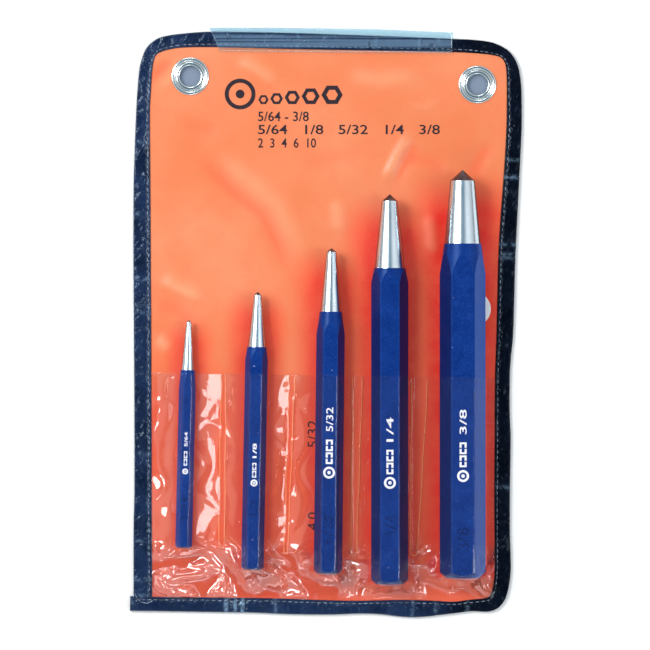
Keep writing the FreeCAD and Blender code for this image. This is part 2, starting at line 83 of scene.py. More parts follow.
WINDOW = [
    (-69.5, -108.6), (-69.58, -95.0), (-69.7, -71.0), (-69.7, -51.0), (-69.82, -31.0), (-69.9, -3.0),
    (-70.06, 21.0), (-70.22, 49.0), (-70.38, 69.0), (-70.46, 84.2), (-69.98, 93.8), (-69.5, 101.0),
    (-68.7, 105.6), (-67.1, 107.88), (-62.78, 109.32), (-57.1, 110.12), (-45.9, 110.28), (-30.3, 109.96),
    (-10.3, 109.48), (9.7, 109.08), (29.7, 108.68), (50.1, 108.28), (59.14, 107.88), (66.26, 107.16),
    (69.9, 106.2), (71.7, 104.0), (72.34, 100.2), (72.5, 93.0), (72.34, 78.2), (71.54, 63.0), (70.34, 47.0),
    (69.3, 31.0), (68.82, 13.0), (68.34, -7.0), (67.78, -25.0), (67.7, -47.0), (67.54, -71.0), (67.7, -91.0),
    (67.42, -103.0), (66.1, -108.6), (64.1, -110.28), (57.7, -111.0), (50.9, -111.8), (41.7, -111.32),
    (29.7, -111.08), (11.3, -111.4), (-2.3, -111.08), (-18.3, -110.52), (-30.3, -110.28), (-50.3, -110.04),
    (-66.0, -109.9), (-78.3, -109.6)]
# places that face each other across the tape: outer point, inner point
PAIRS = [
    ((-77.02, -108.6), (-69.5, -108.6)), ((-77.02, -83.0), (-69.66, -83.0)), ((-76.9, -3.0), (-69.9, -3.0)),
    ((-77.02, 53.0), (-70.24, 53.0)), ((-76.3, 77.0), (-70.42, 77.0)), ((-75.42, 93.8), (-69.98, 93.8)),
    ((-73.9, 105.0), (-69.5, 101.0)), ((-71.1, 110.92), (-68.7, 105.6)), ((-66.3, 114.2), (-67.1, 107.88)),
    ((-59.9, 115.48), (-62.78, 109.32)), ((-45.9, 116.52), (-45.9, 110.28)), ((9.7, 115.24), (9.7, 109.08)),
    ((50.9, 113.64), (50.1, 108.28)), ((64.9, 112.6), (62.0, 107.6)), ((71.3, 110.2), (66.26, 107.16)),
    ((75.5, 106.0), (69.9, 106.2)), ((77.5, 101.0), (71.7, 104.0)), ((78.5, 90.6), (72.4, 97.0)),
    ((78.5, 77.8), (72.34, 78.2)), ((76.42, 35.0), (69.56, 35.0)), ((73.78, -21.0), (67.9, -21.0)),
    ((73.86, -63.0), (67.6, -63.0)), ((74.1, -93.0), (67.68, -92.0)), ((73.3, -106.2), (67.42, -103.0)),
    ((69.7, -113.8), (66.1, -108.6)), ((64.1, -115.88), (64.1, -110.28)), ((34.1, -118.08), (34.1, -111.16)),
    ((1.7, -117.0), (1.7, -111.2)), ((-28.3, -116.28), (-28.3, -110.32)), ((-66.3, -115.64), (-66.0, -109.9)),
    ((-78.4, -115.5), (-78.3, -109.6))]


# ------------------------------------------------------------------ camera, light, floor
scene = bpy.context.scene
for o in list(bpy.data.objects):
    if o.type in ("LIGHT", "CAMERA"):
        bpy.data.objects.remove(o)
cam_data = bpy.data.cameras.new("camera")
cam = bpy.data.objects.new("camera", cam_data)
scene.collection.objects.link(cam)
scene.camera = cam
DIST = 2.2
cam.location = (-0.0003, -0.0010, DIST)
cam.rotation_euler = (0, 0, 0)
cam_data.sensor_width = 36.0
cam_data.lens = 36.0 * (DIST - 0.004) / 0.260
cam_data.clip_start, cam_data.clip_end = 0.05, 20.0
scene.view_settings.view_transform = "Standard"


def area_light(name, loc, target, sx, sy, power, colour=(1, 1, 1)):
    d = bpy.data.lights.new(name, "AREA")
    d.shape, d.size, d.size_y, d.energy, d.color = "RECTANGLE", sx, sy, power, colour
    o = bpy.data.objects.new(name, d)
    scene.collection.objects.link(o)
    o.location = loc
    o.rotation_mode = "QUATERNION"
    o.rotation_quaternion = (Vector(loc) - Vector(target)).to_track_quat("Z", "Y")
    return o


area_light("left_hot", (-0.64, 0.30, 0.84), (0, 0, 0), 0.44, 0.62, 7.4, (1.0, 0.99, 0.97))
area_light("left_core", (-0.55, 0.34, 0.92), (0, 0, 0), 0.12, 0.16, 1.5, (1.0, 1.0, 1.0))
area_light("right_hot", (0.62, -0.05, 0.72), (0, 0, 0), 0.22, 0.50, 2.2, (0.96, 0.98, 1.0))
area_light("north", (-0.15, 1.05, 0.95), (0, 0, 0), 0.50, 0.24, 2.0, (1.0, 0.99, 0.97))
area_light("south", (0.12, -1.00, 0.92), (0, 0, 0), 0.50, 0.22, 1.2, (1.0, 1.0, 1.0))
# a light tent: bright walls left and right, a dim blue roof where the camera looks through
world = bpy.data.worlds.new("studio")
scene.world = world
world.use_nodes = True
wt = world.node_tree
wt.nodes.clear()
w_out = wt.nodes.new("ShaderNodeOutputWorld")
w_bg = wt.nodes.new("ShaderNodeBackground")
w_tc = wt.nodes.new("ShaderNodeTexCoord")
w_sep = wt.nodes.new("ShaderNodeSeparateXYZ")
wt.links.new(w_tc.outputs["Generated"], w_sep.inputs[0])


def w_math(op, a, b=0.0):
    q = wt.nodes.new("ShaderNodeMath")
    q.operation = op
    for k_, v_ in ((0, a), (1, b)):
        if isinstance(v_, (int, float)):
            q.inputs[k_].default_value = v_
        else:
            wt.links.new(v_, q.inputs[k_])
    return q.outputs[0]


xx = w_math("MULTIPLY", w_sep.outputs[0], w_sep.outputs[0])
zz = w_math("MULTIPLY", w_sep.outputs[2], w_sep.outputs[2])
side = w_math("DIVIDE", w_sep.outputs[0], w_math("SQRT", w_math("ADD", w_math("ADD", xx, zz), 0.0001)))
w_r = wt.nodes.new("ShaderNodeValToRGB")
stops = [(0.000, (0.10, 0.10, 0.11)), (0.010, (0.55, 0.55, 0.56)), (0.04, (0.95, 0.94, 0.92)), (0.24, (1.05, 1.05, 1.03)),
         (0.30, (0.70, 0.78, 0.84)), (0.36, (0.30, 0.44, 0.55)), (0.50, (0.22, 0.40, 0.54)), (0.60, (0.30, 0.46, 0.58)),
         (0.645, (0.80, 0.87, 0.92)), (0.70, (1.05, 1.07, 1.09)), (0.93, (1.10, 1.12, 1.15)), (0.988, (0.95, 0.97, 1.0)),
         (1.000, (0.12, 0.12, 0.13))]
els = w_r.color_ramp.elements
els[0].position, els[1].position = stops[0][0], stops[-1][0]
els[0].color, els[1].color = (*stops[0][1], 1), (*stops[-1][1], 1)
for p_, c_ in stops[1:-1]:
    e_ = els.new(p_)
    e_.color = (*c_, 1)
wt.links.new(w_math("ADD", w_math("MULTIPLY", side, 0.5), 0.5), w_r.inputs[0])
# the tent's near and far walls
w_y = wt.nodes.new("ShaderNodeMapRange")
w_y.interpolation_type = "SMOOTHSTEP"
wt.links.new(w_math("ABSOLUTE", w_sep.outputs[1]), w_y.inputs["Value"])
for k_, v_ in (("From Min", 0.30), ("From Max", 0.46), ("To Min", 0.0), ("To Max", 0.85)):
    w_y.inputs[k_].default_value = v_
w_mix = wt.nodes.new("ShaderNodeMix")
w_mix.data_type = "RGBA"
wt.links.new(w_y.outputs[0], w_mix.inputs[0])
wt.links.new(w_r.outputs[0], w_mix.inputs[6])
w_mix.inputs[7].default_value = (0.80, 0.84, 0.88, 1)
wt.links.new(w_mix.outputs[2], w_bg.inputs[0])
yy = w_math("MULTIPLY", w_sep.outputs[1], w_sep.outputs[1])
r_ = w_math("SQRT", w_math("ADD", xx, yy))
w_m = wt.nodes.new("ShaderNodeMapRange")
w_m.interpolation_type = "SMOOTHSTEP"
wt.links.new(r_, w_m.inputs["Value"])
for k_, v_ in (("From Min", 0.08), ("From Max", 0.20), ("To Min", 0.06), ("To Max", 0.66)):
    w_m.inputs[k_].default_value = v_
wt.links.new(w_m.outputs[0], w_bg.inputs[1])
wt.links.new(w_bg.outputs[0], w_out.inputs[0])


# ------------------------------------------------------------------ node material helper
class Mat:
    def __init__(self, name):
        self.m = bpy.data.materials.new(name)
        self.m.use_nodes = True
        self.t = self.m.node_tree
        self.t.nodes.clear()
        self.out = self.t.nodes.new("ShaderNodeOutputMaterial")

    def n(self, kind, **inputs):
        node = self.t.nodes.new("ShaderNode" + kind)
        for k, v in inputs.items():
            if k.startswith("_"):
                setattr(node, k[1:], v)
        for k, v in inputs.items():
            if not k.startswith("_"):
                self.put(node, k, v)
        return node

    def put(self, node, key, v):
        sock = node.inputs[int(key[1:])] if key[0] == "i" and key[1:].isdigit() else node.inputs[key.replace("__", " ")]
        if isinstance(v, bpy.types.NodeSocket):
            self.t.links.new(v, sock)
        elif isinstance(v, bpy.types.Node):
            self.t.links.new(v.outputs[0], sock)
        else:
            sock.default_value = v

    def coords(self, scale=(1, 1, 1), rot=(0, 0, 0), loc=(0, 0, 0)):
        tc = self.n("TexCoord")
        mp = self.n("Mapping")
        self.t.links.new(tc.outputs["Object"], mp.inputs["Vector"])
        mp.inputs["Scale"].default_value = scale
        mp.inputs["Rotation"].default_value = rot
        mp.inputs["Location"].default_value = loc
        return mp.outputs[0]

    def noise(self, vec, scale, detail=4.0, rough=0.55, distortion=0.0):
        return self.n("TexNoise", Vector=vec, Scale=scale, Detail=detail, Roughness=rough, Distortion=distortion).outputs[0]

    def ramp(self, fac, lo, hi, a=(0, 0, 0, 1), b=(1, 1, 1, 1)):
        r = self.n("ValToRGB")
        r.color_ramp.elements[0].position, r.color_ramp.elements[1].position = lo, hi
        r.color_ramp.elements[0].color, r.color_ramp.elements[1].color = a, b
        self.put(r, "Fac", fac)
        return r.outputs[0]

    def mix(self, fac, a, b, blend="MIX"):
        m = self.n("Mix", _data_type="RGBA", _blend_type=blend)
        self.put(m, "i0", fac)
        self.put(m, "i6", a)
        self.put(m, "i7", b)
        return m.outputs[2]

    def math(self, op, a, b=0.0, clamp=False):
        m = self.n("Math", _operation=op, _use_clamp=clamp)
        self.put(m, "i0", a)
        self.put(m, "i1", b)
        return m.outputs[0]

    def rng(self, v, a, b, c, d):
        m = self.n("MapRange", Value=v)
        for k, x in (("From Min", a), ("From Max", b), ("To Min", c), ("To Max", d)):
            m.inputs[k].default_value = x
        return m.outputs[0]

    def bump(self, height, strength, distance, normal=None):
        b = self.n("Bump", Height=height, Strength=strength, Distance=distance)
        if normal is not None:
            self.put(b, "Normal", normal)
        return b.outputs[0]

    def done(self, shader):
        self.t.links.new(shader if isinstance(shader, bpy.types.NodeSocket) else shader.outputs[0], self.out.inputs[0])
        return self.m


def mesh_object(name, verts_mm, faces, mat, smooth=True):
    me = bpy.data.meshes.new(name)
    me.from_pydata((np.asarray(verts_mm, float) * MM).tolist(), [], faces if isinstance(faces, list) else faces.tolist())
    me.update()
    if smooth:
        me.polygons.foreach_set("use_smooth", np.ones(len(me.polygons), bool))
    o = bpy.data.objects.new(name, me)
    scene.collection.objects.link(o)
    o.data.materials.append(mat)
    return o


def grid_faces(nr, nc, wrap_r=False, wrap_c=False, base=0):
    r = np.arange(nr if wrap_r else nr - 1)
    c = np.arange(nc if wrap_c else nc - 1)
    R, C = np.meshgrid(r, c, indexing="ij")
    R2, C2 = (R + 1) % nr, (C + 1) % nc
    return np.stack([R * nc + C, R * nc + C2, R2 * nc + C2, R2 * nc + C], -1).reshape(-1, 4) + base


def modifier(o, kind, **props):
    m = o.modifiers.new(kind.lower(), kind)
    for k, v in props.items():
        setattr(m, k, v)
    return m


def waves(x, y, seed, lo=0.02, hi=0.09, n=18):
    """Smooth seeded unevenness, about -1 to 1, from a sum of waves; lo and hi are cycles per millimetre."""
    g = np.random.default_rng(seed)
    out = np.zeros(np.broadcast(x, y).shape)
    for _ in range(n):
        f = g.uniform(lo, hi)
        a = g.uniform(0, 2 * math.pi)
        out = out + np.sin(2 * math.pi * f * (x * math.cos(a) + y * math.sin(a)) + g.uniform(0, 6.28))
    return out / math.sqrt(n) / 1.2


def sstep(t):
    t = np.clip(t, 0, 1)
    return t * t * (3 - 2 * t)


def along_punch(k, x, y):
    """Distance off the punch's axis, and distance along it from the struck end."""
    af, length, tip, paint, face, ex, ey, lean = PUNCH[k]
    a = math.radians(lean)
    dx, dy = x - ex, y - ey
    return dx * math.cos(a) - dy * math.sin(a), dx * math.sin(a) + dy * math.cos(a)


# ------------------------------------------------------------------ orange panel
FOLDS = [  # line in millimetres, height, width, how much steeper one side is
    ([(-52.3, 67), (-37.5, 52.2), (-25.5, 43), (-19.5, 31), (-13.5, 16.2)], -0.55, 4.2, 0.4),
    ([(-46.0, 70), (-31.5, 57), (-19.0, 46), (-12.5, 33), (-8.5, 22)], 0.42, 5.0, 0.0),
    ([(33.2, 76.5), (27.6, 66.5), (23.2, 57.0)], 0.80, 1.9, 0.5),
    ([(36.5, 73.0), (31.0, 63.0), (27.5, 55.0)], -0.40, 2.6, 0.0),
    ([(-67.0, 17.5), (-59.0, 13.2), (-48.5, 8.5)], 0.75, 3.0, 0.4),
    ([(-69.0, 8.5), (-60.0, 5.0), (-50.0, -2.0)], -0.35, 3.5, 0.0),
    ([(-68.0, -6.0), (-62.0, -11.0)], 0.55, 3.0, 0.0),
    ([(-36.0, 106.0), (-28.0, 101.5), (-19.0, 95.0)], 0.55, 3.2, 0.3),
    ([(8.0, 99.0), (24.0, 97.0), (38.0, 99.5)], 0.45, 4.0, 0.0),
    ([(4.3, 50.0), (5.6, 35.0)], 0.50, 2.6, 0.0),
    ([(57.5, 58.0), (62.0, 66.0), (67.0, 72.0)], -0.45, 3.4, 0.0),
    ([(50.0, 60.0), (40.0, 65.0), (30.0, 66.0)], -0.38, 3.2, 0.0),
    ([(-71.0, 96.5), (-66.0, 101.5), (-61.0, 105.5)], -0.55, 2.2, 0.0),
    ([(-67.0, 93.0), (-62.5, 98.0), (-58.0, 106.5)], 0.50, 2.2, 0.0),
    ([(-58.0, 80.0), (-50.0, 78.0), (-42.0, 76.0)], -0.25, 3.0, 0.0),
    ([(47.5, 90.5), (40.0, 86.0), (34.0, 87.0)], 0.22, 1.2, 0.0),
    ([(20.0, 70.0), (5.0, 66.0), (-12.0, 62.0)], -0.22, 4.0, 0.0),
    ([(41.0, 44.0), (42.0, 36.0), (43.0, 26.0)], 0.45, 2.6, 0.0),
]


def fold(x, y, pts, amp, wid, skew):
    """A soft ridge or valley along a line, fading at both ends."""
    p = np.array(pts, float)
    best = np.full(np.broadcast(x, y).shape, 1e9)
    side_ = np.zeros_like(best)
    where = np.zeros_like(best)
    seg = np.hypot(*np.diff(p, axis=0).T)
    run, total = 0.0, seg.sum()
    for (a, b), L in zip(zip(p[:-1], p[1:]), seg):
        t = np.clip(((x - a[0]) * (b[0] - a[0]) + (y - a[1]) * (b[1] - a[1])) / L ** 2, 0, 1)
        dx_, dy_ = x - a[0] - t * (b[0] - a[0]), y - a[1] - t * (b[1] - a[1])
        d = np.hypot(dx_, dy_)
        sg = np.sign((b[0] - a[0]) * dy_ - (b[1] - a[1]) * dx_)
        m_ = d < best
        best, side_, where = np.where(m_, d, best), np.where(m_, sg, side_), np.where(m_, (run + t * L) / total, where)
        run += L
    w_ = wid * (1 + skew * side_)
    ends = sstep(where / 0.28) * sstep((1 - where) / 0.28)
    return amp * np.exp(-(best / w_) ** 2) * (0.15 + 0.85 * ends)


def panel_height(x, y):
    """Front face of the orange vinyl: slack waves, and a low swell where the punches lie."""
    x, y = np.asarray(x, float), np.asarray(y, float)
    swell = np.zeros(np.broadcast(x, y).shape)
    for k, (af, length, *_rest) in PUNCH.items():
        d, s = along_punch(k, x, y)
        w = af / 2 + 3.0
        along = sstep((s + 6) / 12) * sstep((length + 6 - s) / 16)
        swell = np.maximum(swell, 0.66 * np.exp(-(d / w) ** 2) * along)
    free = np.ones_like(swell)
    for gx, gy in GROMMET.values():
        free = free * sstep((np.hypot(x - gx, y - gy) - 8.0) / 9.0)
    edge = np.minimum(np.minimum(x + 70.5, 68.6 + 0.028 * (y + 20) - x), np.minimum(y + 111.0, 109.5 - y))
    free = free * sstep(edge / 9.0)
    # soft folds and buckles in the slack vinyl
    up = sstep((y + 10) / 60)
    slack = 0.16 * waves(x, y * 0.7, 5, 0.012, 0.036, 12) * (0.5 + 0.5 * up) + 0.05 * waves(x, y, 8, 0.04, 0.10, 16)
    for pts, amp, wid, skew in FOLDS:
        slack = slack + 1.35 * fold(x, y, pts, amp, wid, skew)
    stick = np.hypot(x - 59.3, y - 5.4)
    free = free * sstep((stick - 7.0) / 6.0)
    swell = swell * sstep((stick - 7.0) / 6.0)
    return np.minimum(FACE_Z + np.clip(slack, -0.62, 0.85) * free + swell * sstep(edge / 6.0), 2.14)


exact_height = panel_height
GX, GY = np.linspace(-80, 80, 401), np.linspace(-120, 120, 601)
HEIGHT = exact_height(*np.meshgrid(GX, GY))


def panel_height(x, y):
    """The same height, read from a fine table."""
    x, y = np.asarray(x, float), np.asarray(y, float)
    u = np.clip((x + 80) / 0.4, 0, 399.999)
    v = np.clip((y + 120) / 0.4, 0, 599.999)
    i, j = u.astype(int), v.astype(int)
    fu, fv = u - i, v - j
    return (HEIGHT[j, i] * (1 - fu) * (1 - fv) + HEIGHT[j, i + 1] * fu * (1 - fv)
            + HEIGHT[j + 1, i] * (1 - fu) * fv + HEIGHT[j + 1, i + 1] * fu * fv)


def row_range(y, outline, inset):
    """Left and right edge of an outline at height y."""
    pts = np.array(outline + [outline[0]])
    xs = []
    for (x0, y0), (x1, y1) in zip(pts[:-1], pts[1:]):
        if (y0 - y) * (y1 - y) <= 0 and abs(y1 - y0) > 1e-9:
            xs.append(x0 + (y - y0) / (y1 - y0) * (x1 - x0))
    return min(xs) + inset, max(xs) - inset


m = Mat("orange_vinyl")
v = m.coords()
big = m.noise(v, 22.0, 2.0, 0.5)
mid = m.noise(v, 140.0, 4.0, 0.6)
fine = m.noise(v, 2600.0, 2.0, 0.6)
# the painted shade and painted highlight stay on the front
gn_ = m.n("NewGeometry")
face_up = m.n("SeparateXYZ")
m.t.links.new(gn_.outputs["Normal"], face_up.inputs[0])
front_ = m.rng(face_up.outputs[2], -0.1, 0.1, 0.0, 1.0)
painted_shade_at = m.math("MULTIPLY", m.n("Attribute", _attribute_name="shelter").outputs["Fac"], front_)
open_col = m.mix(m.ramp(big, 0.36, 0.66), (0.715, 0.182, 0.064, 1), (0.765, 0.236, 0.106, 1))
open_col = m.mix(m.rng(mid, 0.42, 0.75, 0.0, 0.35), open_col, (0.76, 0.130, 0.036, 1))
# painted shade: the deep red mixed in beside the bars, in the fold valleys and low in the pocket
painted_shade_col = m.mix(m.rng(mid, 0.40, 0.70, 0.0, 1.0), (0.86, 0.018, 0.006, 1), (0.88, 0.052, 0.014, 1))
crest_at = m.math("MULTIPLY", m.n("Attribute", _attribute_name="crest").outputs["Fac"], front_)
col = m.mix(painted_shade_at, open_col, painted_shade_col)
# painted highlight: a light orange on the fold crests
col = m.mix(crest_at, col, (0.90, 0.43, 0.24, 1))
col = m.mix(m.rng(fine, 0.5, 0.8, 0.0, 0.14), col, (0.95, 0.32, 0.15, 1))
grain = m.n("TexVoronoi", Vector=v, Scale=1500.0, _feature="DISTANCE_TO_EDGE").outputs[0]
nrm = m.bump(m.noise(v, 420.0, 5.0, 0.6), 0.25, 0.0002)
nrm = m.bump(grain, 0.18, 0.00006, nrm)
rough = m.rng(mid, 0.3, 0.8, 0.36, 0.50)
bs = m.n("BsdfPrincipled", Base__Color=col, Roughness=rough, Normal=nrm)
bs.inputs["Specular IOR Level"].default_value = 0.42
ORANGE = m.done(bs)

ny, nx = 172, 118
ys = np.linspace(-114.2, 112.0, ny)
pv = np.zeros((ny, nx, 3))
for i, y in enumerate(ys):
    a, b = row_range(y, OUTER, 2.4)
    pv[i, :, 0] = np.linspace(a, b, nx)
    pv[i, :, 1] = y
pv[..., 2] = panel_height(pv[..., 0], pv[..., 1]) - 0.02
pf = grid_faces(ny, nx)
cen = pv.reshape(-1, 3)[pf].mean(1)
keep = np.ones(len(pf), bool)
for gx, gy in GROMMET.values():
    keep &= np.hypot(cen[:, 0] - gx, cen[:, 1] - gy) > 5.6
panel = mesh_object("panel_vinyl", pv.reshape(-1, 3), pf[keep], ORANGE)
# painted shade: deeper, redder colour beside each bar, and a little deeper over the pocket, most towards its bottom
PX, PY = pv[..., 0].ravel(), pv[..., 1].ravel()
shelter = 0.42 * sstep((-8.0 - PY) / 30.0) + 0.10 * sstep((40.0 - PY) / 60)
for k_, q_ in PUNCH.items():
    d_, s_ = along_punch(k_, PX, PY)
    off_ = np.maximum(np.abs(d_) - q_[0] * 0.5, 0)
    reach = 2.8 + q_[0] * 0.50
    end_ = sstep((s_ + 5) / 7) * sstep((q_[1] + 4.0 - s_) / (9 + q_[0]))
    shelter = np.maximum(shelter, (0.62 + 0.026 * q_[0]) * np.exp(-(off_ / reach) ** 2) * end_)
# painted shade in the fold valleys, painted highlight on the fold crests
crest = np.zeros_like(shelter)
for pts_, amp_, wid_, skew_ in FOLDS:
    g_ = fold(PX, PY, pts_, 1.0, wid_ * 0.85, skew_) * min(abs(amp_) / 0.55, 1.2)
    if amp_ < 0:
        shelter = shelter + 0.30 * g_ * (1 - shelter)
    else:
        crest = np.maximum(crest, 0.30 * g_)
at_ = panel.data.attributes.new("crest", "FLOAT", "POINT")
at_.data.foreach_set("value", np.clip(crest, 0, 1).astype(np.float32))
at_ = panel.data.attributes.new("shelter", "FLOAT", "POINT")
at_.data.foreach_set("value", np.clip(shelter, 0, 1).astype(np.float32))
used = np.zeros(ny * nx, bool)
used[pf[keep].ravel()] = True


def drop_loose(o):
    import bmesh
    bm = bmesh.new()
    bm.from_mesh(o.data)
    bmesh.ops.delete(bm, geom=[x for x in bm.verts if not x.link_faces], context="VERTS")
    bm.to_mesh(o.data)
    bm.free()


drop_loose(panel)
modifier(panel, "SUBSURF", levels=1, render_levels=1)
modifier(panel, "SOLIDIFY", thickness=0.50 * MM, offset=-1.0)
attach(panel, "pouch")
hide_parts("back_panel")

# ------------------------------------------------------------------ clear film over the punches
MOUTH_L, MOUTH_R = -19.96, -22.15
SEAMS = [  # weld line pairs: (x left top, x left bottom), (x right top, x right bottom), y top, y bottom
    ((-41.9, -42.86), (-39.9, -40.54), -20.3, -90.0),
    ((-14.7, -16.7), (-12.3, -15.3), -20.7, -92.6),
    ((10.74, 10.1), (14.74, 12.34), -21.2, -93.0),
    ((34.5, 33.7), (40.9, 36.66), -21.9, -92.6),
]


def mouth_y(x):
    return MOUTH_L + (x + 75.2) * (MOUTH_R - MOUTH_L) / 147.6


def obstacle(x, y, pad):
    """Height of what lies under the film, at each place, with the film's own clearance."""
    h = panel_height(x, y) + 0.14
    for k, (af, length, tip, paint, face, ex, ey, lean) in PUNCH.items():
        d, s = along_punch(k, x, y)
        d = np.abs(d)
        R = af / math.sqrt(3) + pad
        half = af / 2 + pad
        zc = REST_Z + af / 2
        top = np.where(d <= R / 2, half, half - (d - R / 2) * math.sqrt(3))
        rr = np.clip(face + pad + (s + pad), 0, R)
        round_top = np.where(rr > d, np.sqrt(np.maximum(rr * rr - d * d, 0)), -50)
        t = np.minimum(top, round_top)
        ok = (s > -pad) & (s < length) & (d < R)
        h = np.where(ok & (t > -half), np.maximum(h, zc + t), h)
    return h


def seam_mask(x, y):
    m_ = np.zeros(x.shape, bool)
    for (a0, a1), (b0, b1), y0, y1 in SEAMS:
        t = np.clip((y - y0) / (y1 - y0), 0, 1)
        m_ |= (x > a0 + (a1 - a0) * t - 0.2) & (x < b0 + (b1 - b0) * t + 0.2) & (y > y1)
    return m_


def film_shape():
    nyf, nxf = 134, 206
    xs = np.linspace(-72.4, 70.4, nxf)
    X = np.tile(xs, (nyf, 1))
    lowy = -112.6
    t = np.linspace(0, 1, nyf)[:, None]
    Y = lowy + t * (mouth_y(X) - lowy)
    H = obstacle(X, Y, 0.42)
    flat = panel_height(X, Y) + 0.14
    left, right = X < -69.3, X > 67.3
    low = Y < -110.2
    fixed = seam_mask(X, Y) | left | right | low
    level = np.where(left | right | low, FACE_Z + 0.10, flat)
    Z = np.where(fixed, level, np.maximum(H, flat + 2.0))
    dx = xs[1] - xs[0]
    load = 0.010
    for it in range(1400):
        n = np.copy(Z)
        n[1:-1, 1:-1] = 0.25 * (Z[:-2, 1:-1] + Z[2:, 1:-1] + Z[1:-1, :-2] + Z[1:-1, 2:]) - load * dx * dx * 0.25
        n[-1, 1:-1] = 0.5 * (Z[-1, :-2] + Z[-1, 2:]) - load * dx * dx * 0.5
        n[-1, 1:-1] = 0.6 * n[-1, 1:-1] + 0.4 * n[-2, 1:-1]
        Z = np.where(fixed, level, np.maximum(n, H))
    P = np.stack([X, Y, Z], -1)
    return P, fixed, H


def relax_film(P, fixed):
    """Position-based cloth steps: the film keeps its length, has a little slack, and lies on what is under it."""
    g = np.random.default_rng(4)
    ny_, nx_ = P.shape[:2]
    X, Y = P[..., 0], P[..., 1]
    bottom = sstep((-84.0 - Y) / 16.0)
    slack_x = 0.003 + 0.045 * bottom + 0.006 * np.exp(-((Y + 24) / 8) ** 2)
    slack_y = 0.003 + 0.045 * bottom
    rx = np.linalg.norm(P[:, 1:] - P[:, :-1], axis=-1) * (1 + 0.5 * (slack_x[:, 1:] + slack_x[:, :-1]))
    ry = np.linalg.norm(P[1:] - P[:-1], axis=-1) * (1 + 0.5 * (slack_y[1:] + slack_y[:-1]))
    d1 = np.linalg.norm(P[1:, 1:] - P[:-1, :-1], axis=-1) * (1 + 0.5 * (slack_x[1:, 1:] + slack_y[1:, 1:]))
    d2 = np.linalg.norm(P[1:, :-1] - P[:-1, 1:], axis=-1) * (1 + 0.5 * (slack_x[1:, 1:] + slack_y[1:, 1:]))
    w = np.where(fixed, 0.0, 1.0)
    P = P.copy()
    P[..., 2] += w * (0.25 * waves(X, Y, 21, 0.03, 0.14, 20) + 0.10) * (0.15 + bottom)
    V_ = np.zeros_like(P)

    def pull(a, b, rest, k):
        d = b - a
        L = np.linalg.norm(d, axis=-1) + 1e-9
        return d * ((L - rest) / L * k)[..., None]

    steps = 260
    for it in range(steps):
        old = P.copy()
        P = P + V_ * 0.90
        P[..., 2] -= w * (0.0015 + 0.008 * bottom)
        for _ in range(3):
            for par in (0, 1):
                a, b = P[:, par:-1:2], P[:, par + 1::2]
                wa, wb = w[:, par:-1:2], w[:, par + 1::2]
                n = min(a.shape[1], b.shape[1])
                c = pull(a[:, :n], b[:, :n], rx[:, par::2][:, :n], 1.0)
                s = np.maximum(wa[:, :n] + wb[:, :n], 1e-9)
                P[:, par:-1:2][:, :n] += c * (wa[:, :n] / s)[..., None]
                P[:, par + 1::2][:, :n] -= c * (wb[:, :n] / s)[..., None]
            for par in (0, 1):
                a, b = P[par:-1:2], P[par + 1::2]
                wa, wb = w[par:-1:2], w[par + 1::2]
                n = min(a.shape[0], b.shape[0])
                c = pull(a[:n], b[:n], ry[par::2][:n], 1.0)
                s = np.maximum(wa[:n] + wb[:n], 1e-9)
                P[par:-1:2][:n] += c * (wa[:n] / s)[..., None]
                P[par + 1::2][:n] -= c * (wb[:n] / s)[..., None]
            for q, (sa, sb) in enumerate((((slice(None, -1), slice(None, -1)), (slice(1, None), slice(1, None))),
                                          ((slice(None, -1), slice(1, None)), (slice(1, None), slice(None, -1))))):
                rest = d1 if q == 0 else d2
                c = pull(P[sa], P[sb], rest, 0.22)
                P[sa] += c * w[sa][..., None]
                P[sb] -= c * w[sb][..., None]
        # stiffness: each point leans towards the middle of its neighbours
        lap = np.zeros_like(P)
        lap[1:-1, 1:-1] = (P[:-2, 1:-1] + P[2:, 1:-1] + P[1:-1, :-2] + P[1:-1, 2:]) / 4 - P[1:-1, 1:-1]
        lap[-1, 1:-1] = (P[-1, :-2] + P[-1, 2:]) / 2 - P[-1, 1:-1]
        P += lap * (0.10 * w)[..., None]
        floor_ = obstacle(P[..., 0], P[..., 1], 0.36) if it % 4 == 0 or it > steps - 3 else floor_
        P[..., 2] = np.where(fixed, P[..., 2], np.maximum(P[..., 2], floor_))
        P[..., 1] = np.where(np.arange(ny_)[:, None] == ny_ - 1, np.clip(P[..., 1], mouth_y(P[..., 0]) - 0.6, mouth_y(P[..., 0]) + 0.5), P[..., 1])
        V_ = np.clip(P - old, -0.3, 0.3) * w[..., None]
    return P


